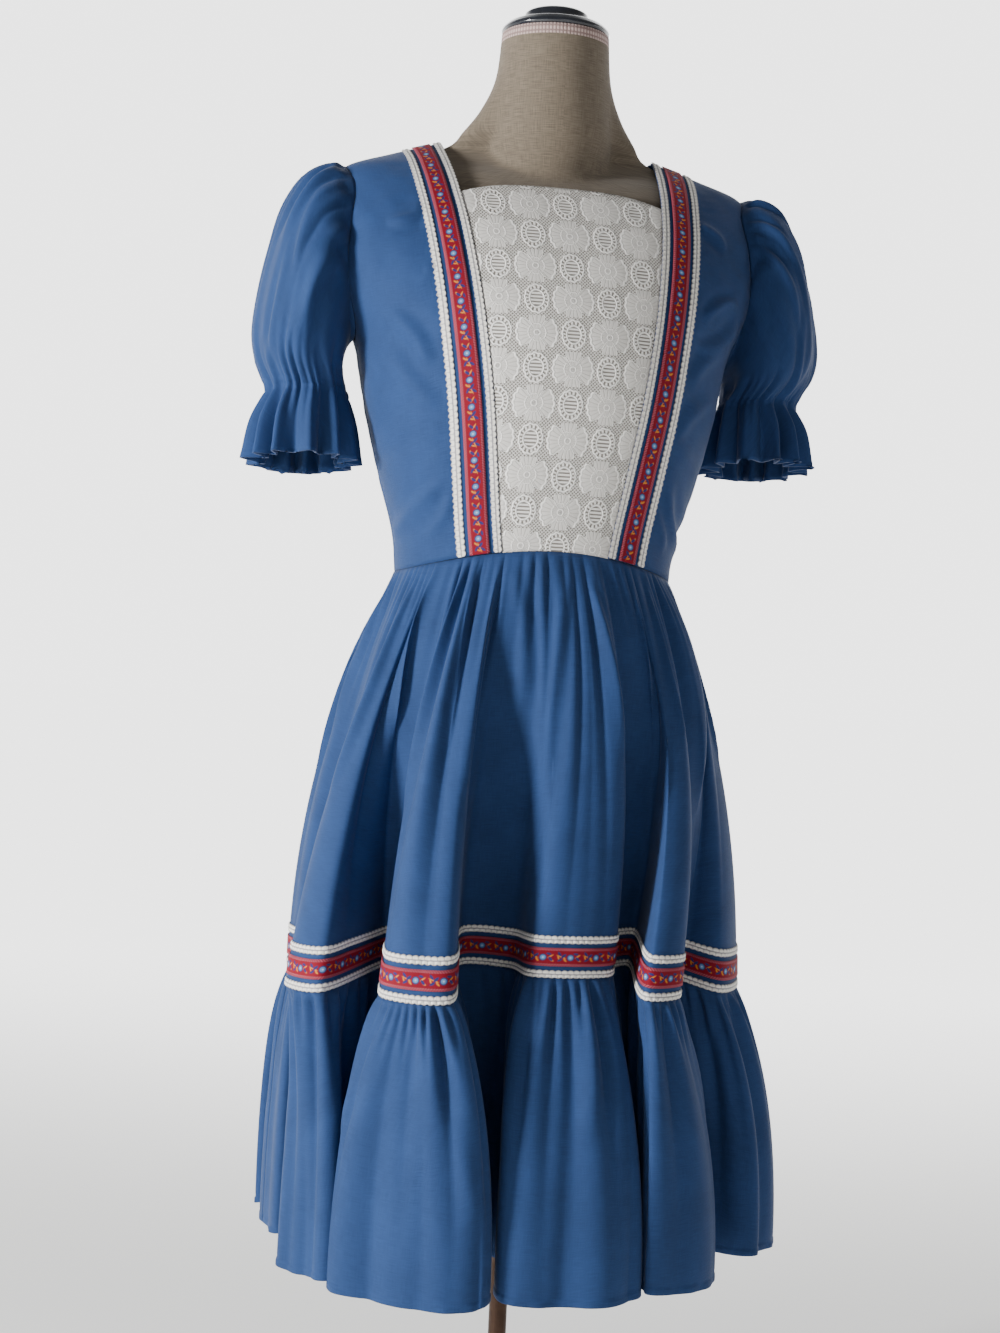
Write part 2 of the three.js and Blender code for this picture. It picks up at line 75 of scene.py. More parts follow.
# Cloth and trims.
CLOTH = 1.2
LACED_CLOTH = 2.0
TRIM = 1.1
SEAM_GAP = 0.3
WAIST_GAP = 0.25
TRIM_GAP = 0.35
BRAID = 7
RIBBON = 17
BODICE_GAP = 3.5
BAND_GAP = 4
PLACKET = 16
TRIM_ZONE = 2 * BRAID + 2 * BODICE_GAP + RIBBON
TIER_LENGTH = 380
FLOUNCE_LENGTH = 251
HEM = 7

# Widths of the bodice, and its armhole seen from the side.
BIB_WAIST_HALF = 49
BIB_SLOPE = 0.14
NECK_POINT_X = 102.6
TIP_X = 190
POWER = 2.25
ARMHOLE_HALF_DEPTH = 50
ARMHOLE_GAP = 0.5
ARMHOLE_MID_Z = 1230.5
ARMHOLE_HALF_HEIGHT = 80.5

# Sleeves.
SLEEVE_CENTRE_Y = 18
SLEEVE_DROP = {"left": -6, "right": 14}
CUFF_TILT = 6
CASING_ROW = 7.5

# Skirt columns: twelve to a fold, the side seams and the waist's first angle.
COLUMNS = 132
SIDE_SEAM = 0.012
RIGHT_HAND_SEAM = 55
LEFT_HAND_SEAM = 121
WAIST_START = -64


def table(names, rows):
    """Rows of numbers as one array for each named column."""
    values = np.array(rows, float)
    return {name: values[:, i] for i, name in enumerate(names.split())}


BODICE = table("z half front back centre", [
    (930, 128, 104, 88, 0),
    (975, 133, 108, 90, 0),
    (1030, 149, 122, 98, 0),
    (1090, 164, 138, 108, 2),
    (1150, 176, 141, 116, 6),
    (1200, 198, 130, 118, 10),
    (1250, 204, 108, 108, 14),
    (1290, 198, 78, 84, 18),
    (1311, 190, 55, 62, 20),
    (1326, 150, 36, 40, 20),
    (1342, 101, 14, 14, 20),
])

FORM = table("z half front back centre neck", [
    (742, 128, 92, 94, 0, 20),
    (752, 138, 98, 100, 0, 20),
    (800, 141, 100, 103, 0, 20),
    (860, 134, 94, 96, 0, 20),
    (920, 122, 88, 78, 0, 20),
    (950, 120, 90, 76, 0, 20),
    (1000, 128, 101, 83, 0, 20),
    (1060, 144, 119, 93, 1, 20),
    (1120, 158, 129, 103, 4, 20),
    (1180, 165, 124, 108, 8, 20),
    (1240, 172, 103, 101, 13, 30),
    (1285, 182, 72, 78, 17, 46),
    (1306, 180, 52, 58, 19, 54),
    (1321, 141, 31, 33, 18, 57),
    (1337, 96, 16, 16, 14, 59),
    (1352, 82, 26, 26, 9, 59),
    (1372, 67, 30, 30, 5, 56),
    (1405, 50, 34, 34, 1, 52),
    (1446, 40, 34, 34, 0, 50),
])

BAND_FOLDS = [
    (-70, -57, 236, -6, -67, -62, 140, 8),
    (-39, -25, 238, -2, -35, -14, 118, 16),
    (-6, 15, 178, 17, 31, 39, 132, 18),
    (20, 30, 216, 2, 41, 47, 168, 9),
    (50, 70, 208, 0, 82, 88, 186, 4),
    (96, 108, 214, -2, 112, 122, 150, 6),
    (126, 143, 226, -4, 139, 152, 132, 12),
    (158, 180, 214, 2, 182, 190, 138, 10),
    (190, 207, 228, -5, 206, 220, 146, 8),
    (224, 240, 220, 0, 247, 254, 172, 5),
    (262, 277, 208, 0, 281, 285, 190, 3),
]

HEM_FOLDS = [
    (-64, -52, 238, 2, -58, -53, 176, 10),
    (-50, -15, 242, -3, -21, -13, 150, 18),
    (-11, 19, 226, 0, 25, 29, 168, 16),
    (21, 43, 230, 4, 48, 53, 186, 14),
    (56, 78, 248, 16, 84, 89, 204, 20),
    (93, 112, 246, 8, 114, 121, 184, 14),
    (122, 150, 248, -2, 147, 153, 166, 14),
    (156, 181, 240, 2, 185, 189, 172, 13),
    (191, 213, 248, -3, 213, 219, 178, 10),
    (222, 246, 246, 8, 250, 256, 196, 18),
    (263, 281, 224, 14, 284, 288, 190, 18),
]

SLEEVE = table("row out_x out_z in_x in_z depth", [
    (0, 191, 1312, 178, 1149, 50),
    (1, 207, 1312, 181, 1145, 60),
    (2, 228, 1299, 183, 1141, 69),
    (3, 247, 1266, 184, 1137, 74),
    (4, 260, 1221, 185, 1134, 74),
    (5, 268, 1170, 185, 1130, 70),
    (6, 266, 1140, 185, 1124, 60),
    (7, 256, 1117, 182, 1113, 44),
    (8, 254, 1107, 180, 1106, 41),
    (9, 262, 1081, 176, 1081, 48),
    (10, 264, 1048, 174, 1048, 52),
])


def section(rows, key, at, heights="z"):
    """One column of a table at the heights given, along a smooth curve through its rows."""
    levels = rows[heights]
    column = rows[key]
    at = np.clip(at, levels[0], levels[-1])
    low = np.clip(np.searchsorted(levels, at, side="left") - 1, 0, len(levels) - 2)
    high = low + 1
    before = np.maximum(low - 1, 0)
    after = np.minimum(high + 1, len(levels) - 1)
    span = levels[high] - levels[low]
    t = (at - levels[low]) / span
    slope_low = (column[high] - column[before]) / (levels[high] - levels[before])
    slope_high = (column[after] - column[low]) / (levels[after] - levels[low])
    ease = t * t * (3 - 2 * t)
    bend = t * (1 - t) * span * ((1 - t) * slope_low - t * slope_high)
    return column[low] + (column[high] - column[low]) * ease + bend


def mix(a, b, t):
    return a + (b - a) * t


def points(x, y, z):
    return np.stack(np.broadcast_arrays(x, y, z), axis=-1)


def superellipse(ratio):
    """How far out a section of the bodice still reaches at this share of its half width."""
    return (1 - np.clip(ratio, 0, 1) ** POWER) ** (1 / POWER)


def bodice_point(x, z, key):
    way = -1 if key == "front" else 1
    depth = section(BODICE, key, z) * superellipse(np.abs(x) / section(BODICE, "half", z))
    y = section(BODICE, "centre", z) + way * np.maximum(depth, SEAM_GAP / 2)
    return points(x, y, z)


SHOULDER_LEVELS = np.linspace(TIP_Z, SHOULDER_TOP_Z, 400)
SHOULDER_HALVES = section(BODICE, "half", SHOULDER_LEVELS)


def shoulder_z(x):
    """Height of the shoulder line, which falls from the neck point to the sleeve."""
    return np.interp(x, SHOULDER_HALVES[::-1], SHOULDER_LEVELS[::-1])


def waist_z(x):
    turn = np.clip(np.abs(x) / section(BODICE, "half", WAIST_SIDE_Z), 0, 1)
    return WAIST_SIDE_Z + WAIST_RISE * np.cos(math.pi / 2 * turn)


def bib_edge(z):
    return BIB_WAIST_HALF + BIB_SLOPE * (z - WAIST_SIDE_Z - WAIST_RISE)


def side_edge(z, key):
    """Outer edge of a front or back panel: the side seam, then the armhole."""
    half = section(BODICE, "half", z)
    rise = np.clip((z - ARMHOLE_MID_Z) / ARMHOLE_HALF_HEIGHT, -1, 1)
    cut = ARMHOLE_HALF_DEPTH * np.sqrt(1 - rise * rise)
    edge = half * superellipse(cut / section(BODICE, key, z))
    return np.where(z >= TIP_Z, TIP_X, edge)


def panel_point(u, v, key, inner_edge, zone, top_z):
    """A bodice panel: u to 1 is a strip along the inner edge, u to 2 runs on to the side."""
    def across(z):
        inner = inner_edge(z)
        turn = np.sin(math.pi / 2 * np.clip(u - 1, 0, 1))
        beyond = mix(inner + zone, side_edge(z, key), turn)
        return np.where(u <= 1, inner + u * zone, beyond)

    foot = waist_z(across(WAIST_SIDE_Z + 0.0 * u)) + WAIST_GAP
    top = NECK_POINT_Z + 0.0 * u
    for _ in range(3):
        top = top_z(across(top))
    z = mix(foot, top, v)
    return bodice_point(across(z), z, key)


def back_top_z(x):
    neck = mix(BACK_NECK_Z, shoulder_z(NECK_POINT_X), np.abs(x / NECK_POINT_X) ** 2.6)
    return np.where(x >= NECK_POINT_X, shoulder_z(x), neck)


def front_panel(u, v):
    return panel_point(u, v, "front", bib_edge, TRIM_ZONE, shoulder_z)


def back_panel(u, v):
    return panel_point(u, v, "back", lambda z: SEAM_GAP / 2 + 0 * z, PLACKET, back_top_z)


def bib_point(u, v):
    foot = waist_z(u * BIB_WAIST_HALF) + WAIST_GAP
    z = mix(foot, BIB_TOP_Z + BIB_ARCH * (1 - np.abs(u) ** 3), v)
    return bodice_point(u * (bib_edge(z) - SEAM_GAP), z, "front")


def fold_curve(folds, z):
    """A closed centripetal curve through a ridge and a valley for each fold, at even counts."""
    found = []
    for ridge_from, ridge_to, reach, lift, dip_from, dip_to, floor, rise in folds:
        for degrees, out, up in (
            (ridge_from, reach, lift),
            (ridge_to, reach, lift),
            (dip_from, floor, rise),
            (dip_to, floor, rise),
        ):
            angle = math.radians(degrees)
            found.append((out * math.sin(angle), -out * math.cos(angle), z + up))
    knots = np.array(found)
    count = len(knots)

    def at(u):
        place = (u / COLUMNS) % 1 * count
        i = np.floor(place).astype(int) % count
        t = (place - np.floor(place))[..., None]
        p0, p1, p2, p3 = (knots[(i + k) % count] for k in (-1, 0, 1, 2))
        gap = [
            np.sum((b - a) ** 2, axis=-1, keepdims=True) ** 0.25
            for a, b in ((p0, p1), (p1, p2), (p2, p3))
        ]
        m1 = (p1 - p0) / gap[0] - (p2 - p0) / (gap[0] + gap[1]) + (p2 - p1) / gap[1]
        m2 = (p2 - p1) / gap[1] - (p3 - p1) / (gap[1] + gap[2]) + (p3 - p2) / gap[2]
        m1 = m1 * gap[1]
        m2 = m2 * gap[1]
        return (
            p1
            + m1 * t
            + (3 * (p2 - p1) - 2 * m1 - m2) * t**2
            + (2 * (p1 - p2) + m1 + m2) * t**3
        )

    return at


band_at = fold_curve(BAND_FOLDS, BAND_Z)
hem_at = fold_curve(HEM_FOLDS, HEM_Z)
FINE_COLUMNS = np.linspace(0, COLUMNS, 6001)


def shares_round(curve):
    """How far round a closed curve each of the fine columns is, in columns of equal length."""
    steps = np.linalg.norm(np.diff(curve(FINE_COLUMNS), axis=0), axis=1)
    run = np.concatenate([[0], np.cumsum(steps)])
    return run * COLUMNS / run[-1]


EVEN_COLUMNS = (shares_round(band_at) + shares_round(hem_at)) / 2


def evened(u):
    """Columns counted anew, so that equal steps are about equal lengths of cloth."""
    turns = np.floor(u / COLUMNS)
    return turns * COLUMNS + np.interp(u - turns * COLUMNS, FINE_COLUMNS, EVEN_COLUMNS)


def even_columns(start, end, count):
    """Columns from start to end at about equal lengths of cloth."""
    at = np.linspace(evened(start), evened(end), count)
    turns = np.floor(at / COLUMNS)
    return turns * COLUMNS + np.interp(at - turns * COLUMNS, EVEN_COLUMNS, FINE_COLUMNS)


def waist_point(u):
    angle = np.radians(WAIST_START + 360 * u / COLUMNS)
    power = 2 / POWER
    half = section(BODICE, "half", WAIST_SIDE_Z)
    x = half * np.sign(np.sin(angle)) * np.abs(np.sin(angle)) ** power
    z = waist_z(x)
    ahead = np.cos(angle) > 0
    reach = np.where(ahead, section(BODICE, "front", z), section(BODICE, "back", z))
    depth = reach * np.abs(np.cos(angle)) ** power
    return points(x, np.where(ahead, -depth, depth), z)


def bell_point(u):
    """The bell that the upper tier would make with no folds, at the same turn as the waist."""
    p = waist_point(u)
    reach = np.hypot(p[..., 0], p[..., 1])
    return points(p[..., 0] / reach * 202, p[..., 1] / reach * 196, BAND_Z)


def tier_point(u, v):
    """Upper tier: u counts columns round from the first fold, v runs from the waist down."""
    v = np.clip(v, 0, 1.01)[..., None]
    waist = waist_point(u)
    folded = mix(bell_point(u), band_at(u), v**1.1)
    p = mix(waist, folded, 1 - np.maximum(1 - v, 0) ** 2.2)
    p[..., 2] = mix(waist[..., 2], folded[..., 2], v[..., 0])
    return p


def flounce_point(u, v):
    v = np.clip(v, 0, 1)[..., None]
    top = band_at(u)
    hem = hem_at(u)
    top[..., 2] -= SEAM_GAP
    p = mix(top, hem, 1 - (1 - v) ** 2.4)
    p[..., 2] = mix(top[..., 2], hem[..., 2], v[..., 0])
    return p


def form_point(turn, z):
    """The form's section: the body's oval and the round neck, blended."""
    half = section(FORM, "half", z)
    depth = np.where(np.cos(turn) > 0, section(FORM, "front", z), section(FORM, "back", z))
    angle = np.arctan2(half * np.sin(turn), depth * np.cos(turn))
    sideways = np.abs(np.sin(angle)) / half
    onwards = np.abs(np.cos(angle)) / depth
    oval = (sideways**POWER + onwards**POWER) ** (-1 / POWER)
    reach = (oval**12 + section(FORM, "neck", z) ** 12) ** (1 / 12)
    y = section(FORM, "centre", z) - reach * np.cos(angle)
    return points(reach * np.sin(angle), y, z)


# Uneven detail: waves from seeded phases, and creases placed one by one.


def waves(at, count, seed, spread=(0.55, 0.8, 1.0, 1.25, 1.6), period=COLUMNS):
    """Uneven waves of about this count in a period, which meet at its ends."""
    rng = np.random.default_rng(seed)
    total = np.zeros(np.shape(at))
    for share in spread:
        weight = rng.uniform(0.5, 1)
        phase = rng.uniform(0, 2 * math.pi)
        total += weight * np.cos(2 * math.pi * round(count * share) * at / period + phase)
    return total / math.sqrt(len(spread))


def pleats(wave):
    """Waves turned into round ridges with narrow valleys between them."""
    return 1.35 * np.sqrt(wave**2 + 0.015) - 0.75


def creases(a, b, rows):
    """Height of creases between (a0, b0) and (a1, b1), in the same units as a and b: each is a
    ridge with a lower trough beside it, bowed sideways by bow, and dies away at both ends."""
    total = np.zeros(np.shape(a))
    for a0, b0, a1, b1, bow, width, height in rows:
        length = math.hypot(a1 - a0, b1 - b0)
        along = ((a - a0) * (a1 - a0) + (b - b0) * (b1 - b0)) / length**2
        off = ((a - a0) * (b1 - b0) - (b - b0) * (a1 - a0)) / length
        off = off - bow * np.sin(math.pi * np.clip(along, 0, 1))
        fade = np.clip(1 - np.abs(2 * along - 1) ** 3, 0, 1)
        ridge = np.exp(-((off / width) ** 2))
        trough = np.exp(-(((off - 1.8 * width) / width) ** 2))
        total += height * fade * (ridge - 0.5 * trough)
    return total


# Meshes.


def outward(point, u, v, flip, level=False, step=1e-3):
    """Unit normals of a surface, sideways only if level is set."""
    along = point(u + step, v) - point(u - step, v)
    up = point(u, v + step) - point(u, v - step)
    normal = flip * np.cross(along, up)
    if level:
        normal[..., 2] = 0
    return normal / np.linalg.norm(normal, axis=-1, keepdims=True)


def raised(point, height, flip, level=False):
    """The surface moved outwards by height(u, v)."""
    def moved(u, v):
        return point(u, v) + outward(point, u, v, flip, level, 2e-3) * height(u, v)[..., None]

    return moved


def mirrored(point):
    def turned(u, v):
        return point(u, v) * (-1, 1, 1)

    return turned


def shell_faces(rows, cols, closed, stride, wrap):
    """Corners of the faces of a thin closed shell on a grid, as numbers into its points."""
    spans = cols if closed else cols - 1
    last = rows - 1
    end = cols - 1

    def at(side, r, c):
        return (side * rows + r) * stride + c % wrap

    r, c = np.meshgrid(np.arange(rows - 1), np.arange(spans), indexing="ij")
    rim = np.arange(spans)
    side = np.arange(rows - 1)
    faces = [
        (at(0, r, c), at(0, r, c + 1), at(0, r + 1, c + 1), at(0, r + 1, c)),
        (at(1, r, c), at(1, r + 1, c), at(1, r + 1, c + 1), at(1, r, c + 1)),
        (at(0, 0, rim), at(1, 0, rim), at(1, 0, rim + 1), at(0, 0, rim + 1)),
        (at(0, last, rim), at(0, last, rim + 1), at(1, last, rim + 1), at(1, last, rim)),
    ]
    if not closed:
        faces += [
            (at(0, side, 0), at(0, side + 1, 0), at(1, side + 1, 0), at(1, side, 0)),
            (at(0, side, end), at(1, side, end), at(1, side + 1, end), at(0, side + 1, end)),
        ]
    return np.concatenate([np.stack([np.ravel(x) for x in face], axis=1) for face in faces])


def arc_lengths(grid, closed):
    """Distances along and up a grid of points, for the pattern, with one more column than it has."""
    after = np.concatenate([grid, grid[:, :1] if closed else grid[:, -1:]], axis=1)
    along = np.linalg.norm(np.diff(after, axis=1), axis=-1)
    along = np.concatenate([np.zeros((len(grid), 1)), np.cumsum(along, axis=1)], axis=1)
    along -= along[:, grid.shape[1] // 2][:, None]
    up = np.linalg.norm(np.diff(after, axis=0), axis=-1)
    up = np.concatenate([np.zeros((1, after.shape[1])), np.cumsum(up, axis=0)])
    return np.stack([along, up], axis=-1)


def mesh_object(name, vertices, faces, uv=None, uv_faces=None):
    """An object with smooth quads, in metres, and pattern coordinates in millimetres."""
    mesh = bpy.data.meshes.new(name)
    count = len(faces)
    mesh.vertices.add(len(vertices))
    mesh.vertices.foreach_set("co", (vertices * MM).astype(np.float32).ravel())
    mesh.loops.add(count * 4)
    mesh.loops.foreach_set("vertex_index", faces.astype(np.int32).ravel())
    mesh.polygons.add(count)
    mesh.polygons.foreach_set("loop_start", np.arange(0, count * 4, 4, dtype=np.int32))
    mesh.polygons.foreach_set("use_smooth", np.ones(count, bool))
    mesh.update(calc_edges=True)
    if uv is not None:
        layer = mesh.uv_layers.new(name="pattern")
        layer.data.foreach_set("uv", uv[uv_faces.ravel()].astype(np.float32).ravel())
    made = bpy.data.objects.new(name, mesh)
    bpy.context.scene.collection.objects.link(made)
    return made


def shell(
    node,
    point,
    u,
    v,
    flip,
    top=0.0,
    bottom=-CLOTH,
    closed=False,
    level=False,
    slot="blue_cloth",
    pattern=None,
):
    """A thin closed mesh between two offsets of a surface, in place of a node of the frame.
    Its pattern coordinates are lengths along and up it, if no others are given."""
    middle = point(u, v)
    out = outward(point, u, v, flip, level)
    outer = middle + out * np.broadcast_to(top, u.shape)[..., None]
    inner = middle + out * np.broadcast_to(bottom, u.shape)[..., None]
    rows, cols = u.shape
    faces = shell_faces(rows, cols, closed, cols, cols)
    uv_faces = shell_faces(rows, cols, closed, cols + 1, cols + 2)
    if pattern is None:
        pattern = arc_lengths(middle, closed)
    lengths = pattern.reshape(-1, 2)
    if flip < 0:
        faces = faces[:, ::-1]
        uv_faces = uv_faces[:, ::-1]
    vertices = np.concatenate([outer.reshape(-1, 3), inner.reshape(-1, 3)])
    made = mesh_object(f"{node}_cloth", vertices, faces, np.concatenate([lengths, lengths]), uv_faces)
    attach(made, "root")
    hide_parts(node)
    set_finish(made, slot)
    return made


def smooth(t):
    t = np.clip(t, 0, 1)
    return t * t * (3 - 2 * t)


def spaced(*stops):
    """Values along a line: each stop but the first says where it ends and in how many steps."""
    values = [np.array([stops[0]], float)]
    for end, count in stops[1:]:
        values.append(np.linspace(values[-1][-1], end, count + 1)[1:])
    return np.concatenate(values)


# Bodice.

LOOP = 5.4
FRONT_CREASES = {
    "right": [
        (88, 1228, 126, 1219, 3, 3.4, 1.5),
        (87, 1207, 131, 1201, -3, 3.8, 1.9),
        (86, 1184, 124, 1176, 3, 3.4, 1.4),
        (83, 1160, 119, 1151, -2, 3.6, 1.2),
        (160, 1168, 122, 1112, 6, 6.0, 1.7),
        (158, 1142, 112, 1076, -5, 6.5, 1.4),
        (136, 962, 101, 1018, 5, 5.5, 1.5),
        (112, 966, 94, 1006, -3, 4.5, 1.2),
        (128, 1262, 160, 1246, 4, 5.0, 1.6),
    ],
    "left": [
        (170, 1200, 128, 1176, 5, 4.6, 2.2),
        (173, 1180, 124, 1148, -5, 5.4, 2.4),
        (168, 1158, 116, 1116, 6, 6.2, 1.8),
        (90, 1214, 120, 1204, 2, 3.6, 1.2),
        (86, 1146, 112, 1138, -2, 3.6, 1.0),
        (150, 1108, 104, 1064, 5, 6.6, 1.3),
        (138, 962, 104, 1024, -6, 5.6, 1.6),
        (110, 966, 92, 1000, 3, 4.4, 1.1),
        (124, 1270, 158, 1250, -4, 5.2, 1.7),
    ],
}
BACK_CREASES = {
    "right": [
        (40, 968, 66, 1040, 5, 6.0, 1.4),
        (96, 966, 84, 1034, -5, 6.5, 1.6),
        (164, 1170, 118, 1120, 6, 6.5, 1.8),
        (150, 1240, 116, 1196, -5, 6.0, 1.5),
        (70, 1268, 112, 1250, 4, 6.0, 1.1),
    ],
    "left": [
        (34, 966, 52, 1026, -4, 5.5, 1.3),
        (88, 968, 102, 1046, 5, 6.5, 1.7),
        (166, 1160, 112, 1098, -6, 6.8, 1.6),
        (152, 1226, 112, 1170, 5, 6.2, 1.5),
        (66, 1250, 104, 1222, -3, 5.6, 1.0),
    ],
}


def bodice_height(point, rows, seed):
    """Creases of a bodice panel, flat at its seams and under its trims."""
    def height(u, v):
        p = point(u, v)
        x, z = p[..., 0], p[..., 2]
        flat = smooth((u - 0.95) / 0.12) * smooth(v / 0.05) * smooth((1 - v) / 0.05)
        flat = flat * smooth((2.02 - u) / 0.14)
        uneven = 0.35 * waves(z, 9, seed, period=380) * waves(x + 0.3 * z, 5, seed + 1, period=210)
        pucker = 0.28 * waves(z, 30, seed + 2, period=380) * np.exp(-((u - 1.1) / 0.16) ** 2)
        return flat * (2.0 * creases(x, z, rows) + 2.0 * uneven + pucker)

    return height


ROWS = 1 - (1 - np.linspace(0, 1, 112)) ** 1.35
TRIMS = {
    "inner_braid": (0, BRAID),
    "ribbon": (BRAID + BODICE_GAP, BRAID + BODICE_GAP + RIBBON),
    "outer_braid": (TRIM_ZONE - BRAID, TRIM_ZONE),
}


def picot(distance, across):
    """How far a looped braid's edge stands out of its middle line, and the height of its loops.
    across runs from -1 to 1."""
    beat = np.sin(math.pi * distance / LOOP)
    scallop = 0.78 + 0.34 * np.abs(beat) ** 0.7
    rows = np.abs(np.sin(math.pi * (distance / LOOP + 0.5 * np.sign(across)))) ** 0.7
    ridge = np.exp(-(((np.abs(across) - 0.5) / 0.3) ** 2))
    return scallop, 0.4 + 0.9 * rows * ridge


def strip(node, point, us, low, high, flip, along_u, level=False, looped=False, slot="white_braid"):
    """A trim laid on a surface between two values of the other parameter, low and high."""
    lanes = np.linspace(-1, 1, 7 if looped else 9)

    def grid(scallop):
        away = scallop[None, :] * lanes[:, None]
        other = (low + high) / 2 + (high - low) / 2 * away
        ways = np.broadcast_to(us, other.shape)
        return (ways, other) if along_u else (other, ways)

    u, v = grid(np.ones(len(us)))
    run = np.linalg.norm(np.diff(point(u, v)[3], axis=0), axis=-1)
    distance = np.concatenate([[0], np.cumsum(run)])
    height = 1.0
    if looped:
        scallop, _ = picot(distance, lanes[0])
        u, v = grid(scallop)
        height = np.stack([picot(distance, lane)[1] for lane in lanes])
    lanes_uv = np.stack(np.broadcast_arrays(distance[None, :], lanes[:, None]), axis=-1)
    lanes_uv = np.concatenate([lanes_uv, lanes_uv[:, -1:]], axis=1)
    top = TRIM_GAP + TRIM * height
    shell(node, point, u, v, flip, top, TRIM_GAP, level=level, slot=slot, pattern=lanes_uv)


def add_bodice():
    across = spaced(0, (1, 26), (2, 62))
    u, v = np.meshgrid(across, ROWS)
    back_u, back_v = np.meshgrid(spaced(0, (1, 10), (1.2, 8), (2, 56)), ROWS)
    lengthwise = np.linspace(0.001, 0.999, 330)
    for side, seed in (("left", 11), ("right", 31)):
        flip = 1 if side == "left" else -1
        front = raised(front_panel, bodice_height(front_panel, FRONT_CREASES[side], seed), 1)
        back = raised(back_panel, bodice_height(back_panel, BACK_CREASES[side], seed + 7), -1)
        if side == "right":
            front = mirrored(front)
            back = mirrored(back)
        shell(f"side_front_{side}", front, u, v, flip)
        shell(f"back_{side}", back, back_u, back_v, -flip)
        for name, (low, high) in TRIMS.items():
            looped = name != "ribbon"
            strip(
                f"{name}_{side}",
                front,
                lengthwise,
                low / TRIM_ZONE,
                high / TRIM_ZONE,
                flip,
                along_u=False,
                looped=looped,
                slot="white_braid" if looped else "flower_ribbon",
            )
        if side == "left":
            lap_u, lap_v = np.meshgrid(np.linspace(0, 1, 17), ROWS)
            fold = 0.25 * np.exp(-((lap_u - 0.9) / 0.05) ** 2)
            shell("back_placket", back, lap_u, lap_v, -flip, TRIM_GAP + TRIM - fold, TRIM_GAP)


LACE_ACROSS = 33.0
LACE_UP = 31.0
LACE_FOOT_Z = 962


def bib_height(u, v):
    """Low relief of the lace: medallions and flowers in turn, half a step apart in each row."""
    p = bib_point(u, v)
    x, z = p[..., 0], p[..., 2] - LACE_FOOT_Z
    row = np.round(z / LACE_UP)
    column = np.round(x / LACE_ACROSS)
    dx = x - column * LACE_ACROSS
    dz = z - row * LACE_UP
    medallion = (row + column) % 2 == 0
    oval = np.exp(-(((np.hypot(dx / 11, dz / 13.5) - 0.8) / 0.22) ** 2))
    flower = np.exp(-((np.hypot(dx, dz) / 17) ** 6))
    rim = smooth(v / 0.03) * smooth((1 - v) / 0.03) * smooth((1 - np.abs(u)) / 0.06)
    return rim * (0.5 * np.where(medallion, oval, flower) + 0.15 * waves(z, 7, 5, period=330))


def add_bib():
    u, v = np.meshgrid(np.linspace(-1, 1, 81), np.linspace(0, 1, 120))
    bib = raised(bib_point, bib_height, 1)
    shell("bib", bib, u, v, 1, bottom=-LACED_CLOTH, slot="white_lace")


# Sleeves.

SLEEVE_CREASES = {
    "left": [
        (-30, 12, -58, 104, 10, 8, 3.6),
        (-78, 10, -96, 84, -8, 7, 3.0),
        (8, 14, 14, 112, 8, 9, 3.2),
        (-118, 20, -92, 122, 10, 9, 3.8),
        (-150, 40, -128, 150, -10, 8, 3.0),
        (-52, 96, -28, 180, 9, 7, 3.0),
        (-86, 118, -84, 192, -6, 6, 2.6),
        (60, 20, 84, 118, -9, 8, 3.2),
        (104, 30, 96, 128, 8, 8, 3.0),
        (44, 104, 62, 186, 7, 7, 2.8),
    ],
    "right": [
        (-22, 12, -40, 96, -9, 8, 3.4),
        (-64, 12, -84, 112, 9, 8, 3.6),
        (16, 14, 26, 104, -8, 8, 3.0),
        (-104, 16, -86, 96, -8, 7, 3.0),
        (-140, 30, -112, 138, 11, 9, 3.8),
        (-62, 104, -44, 184, -8, 7, 2.8),
        (-100, 122, -92, 194, 6, 6, 2.6),
        (72, 18, 66, 110, 9, 8, 3.2),
        (116, 36, 104, 132, -8, 8, 3.0),
        (32, 108, 50, 188, -7, 7, 2.8),
    ],
}


def armhole_point(turn):
    z = ARMHOLE_MID_Z + ARMHOLE_HALF_HEIGHT * np.cos(turn)
    low = z - 1e-6
    edge = np.where(np.sin(turn) < 0, side_edge(low, "front"), side_edge(low, "back"))
    x = np.minimum(edge, TIP_X) + ARMHOLE_GAP
    return points(x, section(BODICE, "centre", z) + ARMHOLE_HALF_DEPTH * np.sin(turn), z)


def sleeve_point(drop):
    """A puff sleeve at +X: u turns round it from its top, v counts the rows of its table."""
    def ring(turn, row):
        out_x, out_z, in_x, in_z, depth = (
            section(SLEEVE, key, row, "row") for key in ("out_x", "out_z", "in_x", "in_z", "depth")
        )
        share = (1 + np.cos(turn)) / 2
        tilt = CUFF_TILT * smooth((row - 5) / 5) * -np.sin(turn)
        z = mix(in_z, out_z, share) - drop * row / 10 + tilt
        return points(mix(in_x, out_x, share), SLEEVE_CENTRE_Y + np.sin(turn) * depth, z)

    def at(u, v):
        turn = 2 * math.pi * u
        t = np.clip(v, 0, 1)[..., None]
        first = armhole_point(turn)
        second = ring(turn, np.ones_like(v))
        onwards = (ring(turn, np.full_like(v, 1.02)) - second) / 0.02
        ease = t * t * (3 - 2 * t)
        joined = mix(first, second, ease)
        joined = joined + t * (1 - t) * ((1 - t) * (second - first) - t * onwards)
        return np.where(v[..., None] < 1, joined, ring(turn, np.maximum(v, 1)))

    return at


